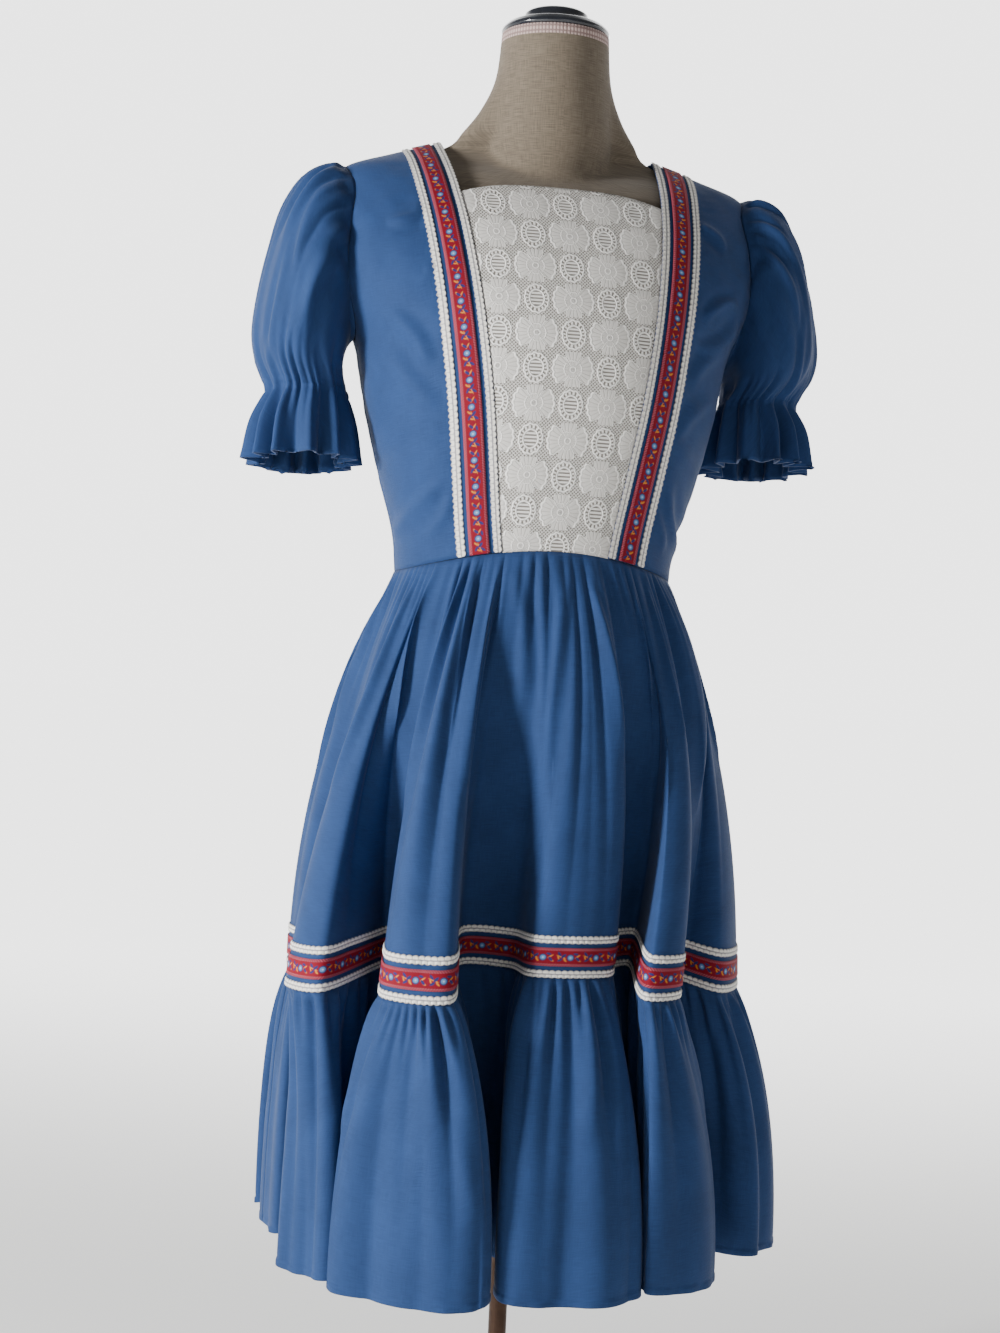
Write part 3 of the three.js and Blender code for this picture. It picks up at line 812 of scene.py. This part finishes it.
def sleeve_height(side, seed):
    """Gathers of the cap and of the elastic, flutes of the ruffle, and creases of the puff."""
    def height(u, v):
        turn = 2 * math.pi * u
        top = np.clip(np.cos(turn) + 0.25, 0, 1) ** 0.6
        cap = 3.4 * (v / 1.1) * np.exp(1 - v / 1.1) * top * pleats(waves(u, 13, seed, period=1))
        near = np.exp(-(((v - CASING_ROW) / 0.9) ** 2))
        wide = np.exp(-(((v - CASING_ROW) / 2.1) ** 2))
        elastic = 1.5 * near * pleats(waves(u, 20, seed + 1, (0.7, 0.85, 1, 1.2), 1))
        elastic = elastic + 3.0 * wide * pleats(waves(u, 11, seed + 2, period=1))
        wobble = 0.7 * np.sin(3 * turn + seed) + 0.45 * np.sin(5 * turn + 2 * seed)
        reach = np.interp(v, [4, 6, 7, 8, 9, 10], [0, 1.4, 1.6, 2.8, 7.5, 11.5])
        flute = reach * np.cos(12 * turn + wobble) * (0.86 + 0.2 * np.sin(2 * turn + seed))
        channel = -0.7 * (np.exp(-(((v - 7) / 0.1) ** 2)) + np.exp(-(((v - 8) / 0.1) ** 2)))
        degrees = (np.degrees(turn) + 180) % 360 - 180
        fold = creases(degrees * 1.3, v * 28, SLEEVE_CREASES[side])
        soft = 2.2 * smooth(v / 2) * smooth((7 - v) / 2) * waves(u, 7, seed + 3, period=1)
        return smooth(v / 0.5) * (cap + elastic + flute + channel + fold + soft)

    return height


def add_sleeves():
    rows = spaced(0, (1, 8), (6.4, 30), (8.4, 15), (10, 14))
    u, v = np.meshgrid(np.arange(228) / 228, rows)
    hem = 0.8 * smooth((v - 9.86) / 0.03)
    for side, seed in (("left", 41), ("right", 52)):
        sleeve = raised(sleeve_point(SLEEVE_DROP[side]), sleeve_height(side, seed), -1)
        flip = -1
        if side == "right":
            sleeve = mirrored(sleeve)
            flip = 1
        shell(f"sleeve_{side}", sleeve, u, v, flip, top=0.3 * hem, bottom=-CLOTH - hem, closed=True)


# Skirt.

TIER_CREASES = [
    (-84, 22, -70, 190, 5, 5.0, 2.4),
    (-40, 16, -52, 150, -5, 4.6, 2.2),
    (12, 20, 4, 210, 6, 5.2, 2.6),
    (58, 14, 72, 176, -6, 5.0, 2.4),
    (104, 18, 96, 236, 5, 5.4, 2.8),
    (142, 16, 158, 168, 5, 4.6, 2.2),
    (196, 20, 184, 220, -6, 5.6, 2.6),
    (236, 14, 246, 150, 5, 4.8, 2.2),
    (286, 20, 276, 232, -5, 5.4, 2.6),
    (330, 16, 342, 180, 5, 5.0, 2.4),
    (378, 20, 366, 214, 6, 5.2, 2.6),
    (430, 14, 444, 160, -5, 4.8, 2.2),
    (482, 18, 470, 226, 5, 5.4, 2.8),
    (528, 16, 540, 170, -6, 5.0, 2.4),
    (586, 20, 574, 240, 5, 5.6, 2.6),
    (640, 16, 652, 158, 5, 4.8, 2.2),
    (694, 20, 682, 222, -6, 5.4, 2.6),
    (748, 14, 762, 176, 5, 5.0, 2.4),
    (806, 20, 792, 230, 6, 5.4, 2.8),
    (860, 16, 874, 164, -5, 4.8, 2.2),
    (912, 20, 900, 218, 5, 5.2, 2.6),
    (966, 16, 980, 172, -5, 5.0, 2.4),
    (1024, 20, 1012, 234, 6, 5.4, 2.6),
    (1082, 14, 1096, 166, 5, 4.8, 2.2),
    (1140, 20, 1126, 214, -6, 5.2, 2.6),
    (1188, 16, 1202, 158, 5, 5.0, 2.2),
]
FLOUNCE_CREASES = [
    (-92, 10, -84, 150, 4, 3.6, 2.4),
    (-58, 8, -66, 118, -4, 3.2, 2.2),
    (-14, 10, -6, 168, 4, 3.6, 2.6),
    (36, 8, 28, 130, 4, 3.2, 2.2),
    (74, 10, 84, 176, -4, 3.8, 2.6),
    (128, 8, 118, 124, 4, 3.2, 2.2),
    (166, 10, 178, 182, -5, 3.8, 2.6),
    (222, 8, 212, 140, 4, 3.4, 2.4),
    (262, 10, 272, 170, -4, 3.8, 2.6),
    (318, 8, 308, 132, 4, 3.4, 2.2),
    (352, 10, 362, 178, 4, 3.6, 2.6),
    (408, 8, 398, 126, -4, 3.2, 2.2),
    (448, 10, 458, 172, 4, 3.6, 2.6),
    (502, 8, 492, 136, -4, 3.2, 2.2),
    (544, 10, 556, 180, 4, 3.8, 2.6),
    (612, 8, 602, 128, 4, 3.4, 2.2),
    (668, 10, 680, 174, -4, 3.8, 2.6),
    (734, 8, 724, 130, 4, 3.4, 2.2),
    (790, 10, 802, 178, 4, 3.8, 2.6),
    (856, 8, 846, 134, -4, 3.2, 2.2),
    (912, 10, 924, 170, 4, 3.8, 2.6),
    (976, 8, 966, 126, 4, 3.4, 2.2),
    (1034, 10, 1046, 176, -4, 3.8, 2.6),
    (1096, 8, 1086, 132, 4, 3.2, 2.2),
    (1150, 10, 1162, 172, 4, 3.8, 2.6),
    (1200, 8, 1192, 120, -4, 3.2, 2.2),
]


def wrapped(along):
    """Tenths of even columns from 12 before the first fold onwards, as the creases' tables count."""
    return ((along + 12) % COLUMNS - 12) * 10


def falling(v, reach):
    """A rise to 1 at this share of the drop, then a slow fall."""
    return v / reach * np.exp(1 - v / reach)


def tier_height(u, v):
    along = evened(u)
    gathered = 2.6 * falling(v, 0.06) * pleats(waves(u, 42, 3, (0.75, 1, 1.3)))
    longer = 4.6 * falling(v, 0.24) * pleats(waves(along, 18, 4))
    soft = 4.6 * np.sin(math.pi * np.clip(v, 0, 1)) * pleats(waves(along, 12, 6))
    level = smooth((1 - v) / 0.08)
    placed = 1.6 * creases(wrapped(along), v * TIER_LENGTH, TIER_CREASES)
    return level * (gathered + longer + soft + placed)


def flounce_height(u, v):
    along = evened(u)
    fine = 4.6 * falling(v, 0.05) * pleats(waves(along, 96, 8, (0.8, 0.9, 1, 1.1)))
    gathered = 8.5 * falling(v, 0.2) * pleats(waves(along, 44, 9, (0.7, 1, 1.3)))
    opening = np.sin(math.pi / 2 * np.clip(v, 0, 1))
    soft = 8.0 * opening**1.5 * pleats(waves(along, 15, 10))
    soft = soft + 4.5 * opening * pleats(waves(along, 27, 14))
    down = v * FLOUNCE_LENGTH
    edge = smooth((down - (FLOUNCE_LENGTH - HEM)) / 3)
    pucker = 0.6 * edge * waves(along, 150, 12, (0.8, 1, 1.2))
    return fine + gathered + soft + pucker + creases(wrapped(along), down, FLOUNCE_CREASES)


def add_skirt():
    tier = raised(tier_point, tier_height, -1, level=True)
    flounce = raised(flounce_point, flounce_height, -1, level=True)
    band = 2 * BRAID + 2 * BAND_GAP + RIBBON
    strips = {
        "lower_band_braid": (0, BRAID),
        "band_ribbon": (BRAID + BAND_GAP, BRAID + BAND_GAP + RIBBON),
        "upper_band_braid": (band - BRAID, band),
    }
    sides = {
        "front": (LEFT_HAND_SEAM - COLUMNS, RIGHT_HAND_SEAM),
        "back": (RIGHT_HAND_SEAM, LEFT_HAND_SEAM),
    }
    tier_rows = spaced(0, (0.16, 14), (0.88, 20), (1, 7))
    stitched = 1 - HEM / FLOUNCE_LENGTH
    flounce_rows = spaced(0, (0.2, 14), (stitched - 0.01, 16), (stitched + 0.008, 3), (1, 4))
    for side, (start, end) in sides.items():
        start += SIDE_SEAM
        end -= SIDE_SEAM
        u, v = np.meshgrid(even_columns(start, end, 529), tier_rows)
        shell(f"upper_tier_{side}", tier, u, v, -1, level=True)
        u, v = np.meshgrid(even_columns(start, end, 641), flounce_rows)
        hem = smooth((v - stitched) / 0.008)
        stitches = 0.35 * np.exp(-(((v - stitched) / 0.006) ** 2))
        top = 0.35 * hem - stitches
        shell(f"flounce_{side}", flounce, u, v, -1, top, -CLOTH - 0.7 * hem, level=True)
        for name, (low, high) in strips.items():
            looped = name != "band_ribbon"
            strip(
                f"{name}_{side}",
                tier,
                even_columns(start, end, 1100 if looped else 500),
                1 - high / TIER_LENGTH,
                1 - low / TIER_LENGTH,
                -1,
                along_u=True,
                level=True,
                looped=looped,
                slot="white_braid" if looped else "flower_ribbon",
            )


# Form and stand.


def lathe(node, profile, sides, slot):
    """A turned solid from its profile of radius and height, closed on the axis at both ends."""
    rings = np.array(profile, float)
    turn = np.linspace(0, 2 * math.pi, sides, endpoint=False)
    reach, z = rings[:, :1], rings[:, 1:]
    rounds(node, points(reach * np.sin(turn), -reach * np.cos(turn), z), slot)


def rounds(node, rings, slot):
    """A solid through closed rings of points, whose ends shrink to their centres."""
    sides = rings.shape[1]
    ends = [np.broadcast_to(rings[i].mean(axis=0), rings[i].shape) for i in (0, -1)]
    insets = [mix(ring, end, 0.04) for ring, end in zip((rings[0], rings[-1]), ends)]
    centres = [mix(ring, end, 0.98) for ring, end in zip((rings[0], rings[-1]), ends)]
    stack = np.concatenate([[centres[0]], [insets[0]], rings, [insets[1]], [centres[1]]])
    rows = len(stack)
    r, c = np.meshgrid(np.arange(rows - 1), np.arange(sides), indexing="ij")
    after = (c + 1) % sides
    low, high = r * sides, (r + 1) * sides
    faces = np.stack([low + c, low + after, high + after, high + c], axis=-1)
    made = mesh_object(f"{node}_fine", stack.reshape(-1, 3), faces.reshape(-1, 4))
    bottom = list(range(sides))[::-1]
    top = [(rows - 1) * sides + i for i in range(sides)]
    close(made, bottom, top)
    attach(made, "root")
    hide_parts(node)
    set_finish(made, slot)


def close(made, *rims):
    """Flat faces over the rims given as lists of vertex numbers."""
    mesh = made.data
    faces = [list(p.vertices) for p in mesh.polygons] + [list(rim) for rim in rims]
    vertices = [tuple(v.co) for v in mesh.vertices]
    mesh.clear_geometry()
    mesh.from_pydata(vertices, [], faces)
    mesh.polygons.foreach_set("use_smooth", np.ones(len(faces), bool))


def rounded(profile, radius=0.9, steps=4):
    """A profile whose corners are rounded."""
    corners = [np.array(p, float) for p in profile]
    found = [corners[0]]
    for before, corner, after in zip(corners, corners[1:], corners[2:]):
        sizes = [np.linalg.norm(other - corner) for other in (before, after)]
        reach = min(radius, 0.45 * min(sizes))
        start = corner + (before - corner) / sizes[0] * reach
        end = corner + (after - corner) / sizes[1] * reach
        for t in np.linspace(0, 1, steps + 1):
            found.append(mix(mix(start, corner, t), mix(corner, end, t), t))
    found.append(corners[-1])
    return found


def add_form():
    levels = spaced(742, (760, 8), (1280, 60), (1446, 50))
    turn, z = np.meshgrid(np.linspace(0, 2 * math.pi, 120, endpoint=False), levels)
    rounds("form_torso", form_point(turn, z), "linen")
    cap = FORM_TOP_Z + SEAM_GAP
    lathe("neck_cap", rounded([
        (2, cap), (49, cap), (51, cap + 2.4), (50, cap + 5), (46, cap + 9), (39, cap + 11.4),
        (33.5, cap + 12.4), (31.5, cap + 13.6), (30, cap + 16), (29.6, cap + 20), (27, cap + 22),
        (2, cap + 22),
    ]), 96, "black_cap")
    lathe("base", rounded([
        (2, 0), (148, 0), (150, 3), (150, 9), (145, 13), (34, 20), (22, 26), (19, 58), (14, 64), (9.5, 64),
    ], 1.5), 96, "bronze_metal")


# Materials.


def linear(hex_colour):
    """A display colour such as 4a6ea0 as linear red, green, blue and alpha."""
    parts = [int(hex_colour[i:i + 2], 16) / 255 for i in (0, 2, 4)]
    return [c / 12.92 if c <= 0.04045 else ((c + 0.055) / 1.055) ** 2.4 for c in parts] + [1.0]


class Field:
    """A number that varies over a surface, built up from a material's math nodes."""

    def __init__(self, tree, socket):
        self.tree = tree
        self.socket = socket

    def math(self, operation, *others):
        node = self.tree.nodes.new("ShaderNodeMath")
        node.operation = operation
        for place, value in zip(node.inputs, (self, *others)):
            if isinstance(value, Field):
                self.tree.links.new(value.socket, place)
            else:
                place.default_value = value
        return Field(self.tree, node.outputs[0])

    def __add__(self, other):
        return self.math("ADD", other)

    def __sub__(self, other):
        return self.math("SUBTRACT", other)

    def __mul__(self, other):
        return self.math("MULTIPLY", other)

    def __truediv__(self, other):
        return self.math("DIVIDE", other)

    def __abs__(self):
        return self.math("ABSOLUTE")

    def sin(self):
        return self.math("SINE")

    def power(self, exponent):
        return self.math("POWER", exponent)

    def most(self, *others):
        found = self
        for other in others:
            found = found.math("MAXIMUM", other)
        return found

    def wrap(self, low, high):
        return self.math("WRAP", high, low)

    def above(self, limit, blur):
        """1 where the number is over the limit, 0 where it is under."""
        node = self.tree.nodes.new("ShaderNodeMapRange")
        node.interpolation_type = "SMOOTHSTEP"
        self.tree.links.new(self.socket, node.inputs["Value"])
        node.inputs["From Min"].default_value = limit - blur
        node.inputs["From Max"].default_value = limit + blur
        return Field(self.tree, node.outputs["Result"])

    def below(self, limit, blur):
        return (self.above(limit, blur) * -1) + 1


def hypot(a, b):
    return (a * a + b * b).power(0.5)


def new_material(name):
    material = bpy.data.materials.new(name)
    material.use_nodes = True
    return material, material.node_tree, material.node_tree.nodes["Principled BSDF"]


def pattern_fields(tree):
    """Distances in millimetres along and across a piece of cloth."""
    coordinates = tree.nodes.new("ShaderNodeUVMap")
    coordinates.uv_map = "pattern"
    parts = tree.nodes.new("ShaderNodeSeparateXYZ")
    tree.links.new(coordinates.outputs[0], parts.inputs[0])
    return Field(tree, parts.outputs[0]), Field(tree, parts.outputs[1])


def place_fields(tree):
    """The place in the object's frame, in millimetres."""
    coordinates = tree.nodes.new("ShaderNodeTexCoord")
    parts = tree.nodes.new("ShaderNodeSeparateXYZ")
    tree.links.new(coordinates.outputs["Object"], parts.inputs[0])
    return [Field(tree, parts.outputs[i]) * 1000 for i in range(3)]


def noise(tree, x, y, z=0.0, scale=1.0, detail=3.0, rough=0.55):
    joined = tree.nodes.new("ShaderNodeCombineXYZ")
    for place, value in zip(joined.inputs, (x, y, z)):
        if isinstance(value, Field):
            tree.links.new(value.socket, place)
        else:
            place.default_value = value
    node = tree.nodes.new("ShaderNodeTexNoise")
    tree.links.new(joined.outputs[0], node.inputs["Vector"])
    node.inputs["Scale"].default_value = scale
    node.inputs["Detail"].default_value = detail
    node.inputs["Roughness"].default_value = rough
    return Field(tree, node.outputs["Fac"])


def blend(tree, mask, a, b):
    """Colour a where the mask is 0 and b where it is 1; each is a hex colour or a socket."""
    node = tree.nodes.new("ShaderNodeMix")
    node.data_type = "RGBA"
    tree.links.new(mask.socket, node.inputs["Factor"])
    for place, colour in ((node.inputs[6], a), (node.inputs[7], b)):
        if isinstance(colour, str):
            place.default_value = linear(colour)
        else:
            tree.links.new(colour, place)
    return node.outputs[2]


def bump(tree, shader, height, distance, strength=1.0):
    """Relief from a field whose 0 to 1 stands for a distance in millimetres."""
    node = tree.nodes.new("ShaderNodeBump")
    tree.links.new(height.socket, node.inputs["Height"])
    node.inputs["Distance"].default_value = distance * MM
    node.inputs["Strength"].default_value = strength
    tree.links.new(node.outputs[0], shader.inputs["Normal"])


def set_inputs(shader, **values):
    for name, value in values.items():
        shader.inputs[name.replace("_", " ")].default_value = value


def slubs(tree, u, v):
    """Uneven threads of a plain weave, both ways, as two fields around a half."""
    weft = noise(tree, u * 0.07, v * 1.5, scale=1.0, detail=2.5)
    warp = noise(tree, u * 1.5, v * 0.07, 7.0, scale=1.0, detail=2.5)
    return weft, warp


def blue_cloth():
    material, tree, shader = new_material("blue_cloth")
    u, v = pattern_fields(tree)
    weft, warp = slubs(tree, u, v)
    threads = weft * 0.6 + warp * 0.4
    clouds = noise(tree, u, v, scale=0.018, detail=2.0)
    shade = threads.above(0.5, 0.2) * 0.6 + clouds.above(0.5, 0.3) * 0.4
    colour = blend(tree, shade, "193158", "254272")
    tree.links.new(colour, shader.inputs["Base Color"])
    weave = (u * (2 * math.pi / 0.9)).sin() * (v * (2 * math.pi / 0.9)).sin()
    relief = threads * 0.8 + weave * 0.12
    bump(tree, shader, relief, 0.5, 0.6)
    set_inputs(shader, Roughness=0.8, Sheen_Weight=0.07, Sheen_Roughness=0.4, Specular_IOR_Level=0.25)
    return material


def white_braid():
    material, tree, shader = new_material("white_braid")
    along, across = pattern_fields(tree)
    beat = abs((along * (math.pi / LOOP) + across.above(0, 0.01) * (math.pi / 2)).sin())
    lane = abs(abs(across) - 0.5)
    loop = beat.power(0.6) * lane.below(0.3, 0.2)
    twist = abs((along * (math.pi / 1.1) + across * 5).sin())
    relief = loop * 0.8 + twist * 0.2
    # Painted shade: the colour follows the relief. It is grey where the relief is low (between the loops,
    # along the braid's middle and at its edges) and white on the loops.
    colour = blend(tree, relief.above(0.3, 0.28), "77767f", "f4f0e8")
    tree.links.new(colour, shader.inputs["Base Color"])
    bump(tree, shader, relief, 0.9, 0.9)
    set_inputs(shader, Roughness=0.7, Sheen_Weight=0.15, Specular_IOR_Level=0.3)
    return material


RIBBON_REPEAT = 23.5
RIBBON_LEAVES = [
    # along, across, length, width, turn
    (4.4, -3.0, 2.5, 1.1, 0.9),
    (8.2, -1.2, 2.7, 1.2, -0.7),
    (5.2, 2.4, 2.4, 1.0, -0.5),
    (20.6, 1.6, 2.6, 1.1, 0.8),
    (18.8, -3.1, 2.2, 1.0, 0.2),
]
RIBBON_SPRIG = [
    # along, across, length, width, turn
    (6.2, -0.4, 4.6, 0.55, 0.35),
    (3.6, 0.4, 1.7, 0.7, 1.2),
    (9.6, 2.6, 1.9, 0.75, 0.8),
    (8.6, 0.9, 1.8, 0.6, 1.4),
    (20.4, -0.9, 2.8, 0.6, -0.6),
    (22.0, 3.1, 1.5, 0.8, 0.3),
]


def leaf(along, across, x, y, length, width, turn):
    """How far from an oval's middle, in its own radii."""
    dx = (along - x).wrap(-RIBBON_REPEAT / 2, RIBBON_REPEAT / 2)
    dy = across - y
    ahead = dx * (math.cos(turn) / length) + dy * (math.sin(turn) / length)
    aside = dy * (math.cos(turn) / width) - dx * (math.sin(turn) / width)
    return hypot(ahead, aside)


def flower_ribbon():
    material, tree, shader = new_material("flower_ribbon")
    along, across = pattern_fields(tree)
    across = across * (RIBBON / 2)
    colour = "7e0b20"
    for x, y, length, width, turn in RIBBON_SPRIG:
        spot = leaf(along, across, x, y, length, width, turn)
        colour = blend(tree, spot.below(1, 0.25), colour, "c97a2c")
    for x, y, length, width, turn in RIBBON_LEAVES:
        spot = leaf(along, across, x, y, length, width, turn)
        colour = blend(tree, spot.below(1, 0.2), colour, "2c2a62")
    bloom = leaf(along, across, 14.2, 0.3, 3.2, 3.2, 0)
    colour = blend(tree, bloom.below(1, 0.12), colour, "27305f")
    colour = blend(tree, bloom.below(0.72, 0.12), colour, "5d7fae")
    colour = blend(tree, bloom.below(0.24, 0.1), colour, "a9bcd0")
    cord = abs(across).above(6.0, 0.12)
    chain = abs((along * (math.pi / 2.3) + abs(across) * 1.1).sin())
    edge = blend(tree, chain.above(0.5, 0.3), "5c1626", "ad4c5a")
    tree.links.new(blend(tree, cord, colour, edge), shader.inputs["Base Color"])
    ribs = abs((across * (math.pi / 0.7)).sin()) * 0.15
    bump(tree, shader, cord * chain * 0.8 + ribs + cord * 0.4, 0.8, 0.8)
    set_inputs(shader, Roughness=0.75, Specular_IOR_Level=0.2)
    return material


def white_lace():
    """Allover lace: oval medallions and four-petalled flowers in turn over a net."""
    material, tree, shader = new_material("white_lace")
    x, _, z = place_fields(tree)
    up = z - LACE_FOOT_Z
    dz = up.wrap(-LACE_UP / 2, LACE_UP / 2)
    odd_row = abs((up / (2 * LACE_UP)).wrap(-0.5, 0.5)).above(0.25, 0.001)
    shifted = x + odd_row * LACE_ACROSS
    dx = shifted.wrap(-LACE_ACROSS, LACE_ACROSS)
    fx = (shifted + LACE_ACROSS).wrap(-LACE_ACROSS, LACE_ACROSS)
    oval = hypot(dx / 11, dz / 13.5)
    turn = dx.math("ARCTAN2", dz)
    outline = abs(oval - 0.95 + (turn * 14).sin() * 0.03).below(0.075, 0.05)
    second = abs(oval - 0.6).below(0.07, 0.05)
    dots = abs((turn * 9).sin()).above(0.6, 0.25) * abs(oval - 0.78).below(0.12, 0.04)
    bars = abs((dz * (math.pi / 3.2)).sin()).above(0.5, 0.25) * oval.below(0.54, 0.05)
    reach = hypot(fx, dz)
    angle = fx.math("ARCTAN2", dz)
    notch = abs(abs(angle.sin()) - 0.55).below(0.1, 0.1) * 6.5
    scallop = abs((angle * 9).sin()) * 1.3
    share = reach / (scallop - notch + 18)
    rim = abs(share - 0.95).below(0.06, 0.03)
    divide = abs(abs(angle.sin()) - 0.55).below(0.05, 0.04) * share.below(0.9, 0.05)
    inner = abs(share - 0.42).below(0.04, 0.03)
    veins = (abs((angle * 12).sin()).above(0.3, 0.3) * 0.14 + 0.4) * share.below(0.93, 0.03)
    eye = abs(reach - 2.6).below(0.7, 0.4)
    mesh_step = math.pi / 3.2
    threads = [abs((way * mesh_step).sin()).above(0.78, 0.2) for way in (x + up, x - up)]
    net = threads[0].most(threads[1])
    open_net = oval.above(1.0, 0.04) * share.above(1.0, 0.04)
    cords = outline.most(second, rim, eye, divide)
    cloth = (dots.most(bars) * 0.7).most(veins, inner * 0.85)
    relief = cords.most(cloth, net * open_net * 0.55)
    # Painted shade: the colour follows the relief. It is grey in the holes of the net and darker where the
    # relief is low, and near white on the cords.
    colour = blend(tree, relief.above(0.48, 0.5), "857f77", "fdfaf5")
    tree.links.new(colour, shader.inputs["Base Color"])
    bump(tree, shader, relief, 1.4, 1.0)
    set_inputs(shader, Roughness=0.75, Sheen_Weight=0.1, Specular_IOR_Level=0.3)
    return material


NECK_RADIUS = 52


def linen():
    material, tree, shader = new_material("linen")
    x, y, z = place_fields(tree)
    turn = x.math("ARCTAN2", y) * NECK_RADIUS
    weft, warp = slubs(tree, turn, z)
    threads = weft * 0.6 + warp * 0.4
    colour = blend(tree, threads.above(0.5, 0.18), "5c5348", "7b7061")
    band = z.above(SELVEDGE_Z, 0.4)
    loops = abs((turn * (math.pi / 3.4)).sin()) * abs((z * (math.pi / 4.6) + 0.4).sin())
    stitched = blend(tree, loops.above(0.45, 0.3), "8a7470", "bfa9a2")
    tree.links.new(blend(tree, band, colour, stitched), shader.inputs["Base Color"])
    bump(tree, shader, threads * 0.7 + band * loops * 1.2, 0.6, 0.7)
    set_inputs(shader, Roughness=0.9, Sheen_Weight=0.1, Specular_IOR_Level=0.2)
    return material


def hard_surface(name, low, high, roughness, metallic, coat):
    """Painted or cast surface with faint mottling."""
    material, tree, shader = new_material(name)
    x, y, z = place_fields(tree)
    mottle = noise(tree, x, y, z, scale=0.09, detail=4.0)
    tree.links.new(blend(tree, mottle.above(0.5, 0.3), low, high), shader.inputs["Base Color"])
    uneven = mottle * 0.12 + (roughness - 0.06)
    tree.links.new(uneven.socket, shader.inputs["Roughness"])
    bump(tree, shader, noise(tree, x, y, z, scale=0.5, detail=2.0), 0.05, 0.5)
    set_inputs(shader, Metallic=metallic, Coat_Weight=coat, Coat_Roughness=0.12)
    return material


def add_materials():
    made = {
        "blue_cloth": blue_cloth(),
        "white_braid": white_braid(),
        "flower_ribbon": flower_ribbon(),
        "white_lace": white_lace(),
        "linen": linen(),
        "black_cap": hard_surface("black_cap", "14161c", "1e2129", 0.22, 0.0, 0.6),
        "bronze_metal": hard_surface("bronze_metal", "3b2c24", "4d3a2f", 0.42, 0.85, 0.0),
    }
    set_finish(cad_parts["pole"], "bronze_metal")
    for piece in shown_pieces():
        piece.data.materials.clear()
        piece.data.materials.append(made[piece["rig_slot"]])


# Room, light and camera.

CAMERA_AZIMUTH = math.radians(-12)
CAMERA_REACH = 2.1
CAMERA_LEVEL = 0.847
CAMERA_ROLL = math.radians(2.6)
CAMERA_LENS = 60.4
CAMERA_SHIFT = (-0.020, 0.0064)
SENSOR = 36
FLOOR_RADIUS = 60
FLOOR_GLOW = 2.5
GLOW_AHEAD = 0.22
GLOW_BEHIND = 3.2
LAMPS = [
    # name, azimuth, distance, height, size, watts, height aimed at
    ("key", -70, 2.4, 1.25, 0.45, 116, 0.6),
    ("fill", 8, 3.4, 1.3, 1.2, 9, 0.85),
    ("right", 85, 2.6, 1.9, 0.8, 8, 0.85),
    ("back", 150, 3.0, 1.9, 0.8, 14, 0.85),
]


def add_floor():
    """A pale round floor out to the horizon, which grows as bright as the surround behind."""
    sides = 64
    turns = [2 * math.pi * k / sides for k in range(sides)]
    mesh = bpy.data.meshes.new("floor")
    edge = [(FLOOR_RADIUS * math.cos(a), FLOOR_RADIUS * math.sin(a), -0.0005) for a in turns]
    mesh.from_pydata(edge, [], [list(range(sides))])
    floor = bpy.data.objects.new("floor", mesh)
    bpy.context.scene.collection.objects.link(floor)
    material, tree, shader = new_material("pale_floor")
    shader.inputs["Base Color"].default_value = linear("f4f4f2")
    set_inputs(shader, Roughness=0.9, Specular_IOR_Level=0.1)
    x, y, _ = place_fields(tree)
    behind = y * math.cos(CAMERA_AZIMUTH) - x * math.sin(CAMERA_AZIMUTH)
    glow = behind.above(2400, 2000) * FLOOR_GLOW
    shader.inputs["Emission Color"].default_value = (1, 1, 1, 1)
    tree.links.new(glow.socket, shader.inputs["Emission Strength"])
    mesh.materials.append(material)


def add_world():
    """A white surround, bright behind the dress and dim in front of it."""
    world = bpy.data.worlds.new("world")
    world.use_nodes = True
    tree = world.node_tree
    coordinates = tree.nodes.new("ShaderNodeTexCoord")
    parts = tree.nodes.new("ShaderNodeSeparateXYZ")
    tree.links.new(coordinates.outputs["Generated"], parts.inputs[0])
    x, y = Field(tree, parts.outputs[0]), Field(tree, parts.outputs[1])
    behind = y * math.cos(CAMERA_AZIMUTH) - x * math.sin(CAMERA_AZIMUTH)
    strength = behind.above(0.6, 0.3) * (GLOW_BEHIND - GLOW_AHEAD) + GLOW_AHEAD
    background = tree.nodes["Background"]
    background.inputs["Color"].default_value = (1, 1, 1, 1)
    tree.links.new(strength.socket, background.inputs["Strength"])
    bpy.context.scene.world = world


def add_lights():
    """Soft square lamps; an azimuth turns from the front towards +X, in degrees."""
    for name, azimuth, distance, height, size, power, aim in LAMPS:
        data = bpy.data.lights.new(name, "AREA")
        data.shape = "SQUARE"
        data.size = size
        data.energy = power
        lamp = bpy.data.objects.new(name, data)
        bpy.context.scene.collection.objects.link(lamp)
        lamp.visible_camera = False
        angle = math.radians(azimuth)
        place = Vector((distance * math.sin(angle), -distance * math.cos(angle), height))
        lamp.location = place
        lamp.rotation_euler = (Vector((0, 0, aim)) - place).to_track_quat("-Z", "Y").to_euler()


def add_camera():
    data = bpy.data.cameras.new("camera")
    data.sensor_width = SENSOR
    data.lens = CAMERA_LENS
    data.shift_x, data.shift_y = CAMERA_SHIFT
    camera = bpy.data.objects.new("camera", data)
    bpy.context.scene.collection.objects.link(camera)
    back = Vector((math.sin(CAMERA_AZIMUTH), -math.cos(CAMERA_AZIMUTH), 0))
    camera.location = back * CAMERA_REACH + Vector((0, 0, CAMERA_LEVEL))
    facing = Euler((math.pi / 2, 0, CAMERA_AZIMUTH)).to_matrix()
    rolled = facing @ Matrix.Rotation(CAMERA_ROLL, 3, "Z")
    camera.rotation_euler = rolled.to_euler()
    bpy.context.scene.camera = camera


add_bodice()
add_bib()
add_sleeves()
add_skirt()
add_form()
add_materials()
add_floor()
add_world()
add_lights()
add_camera()
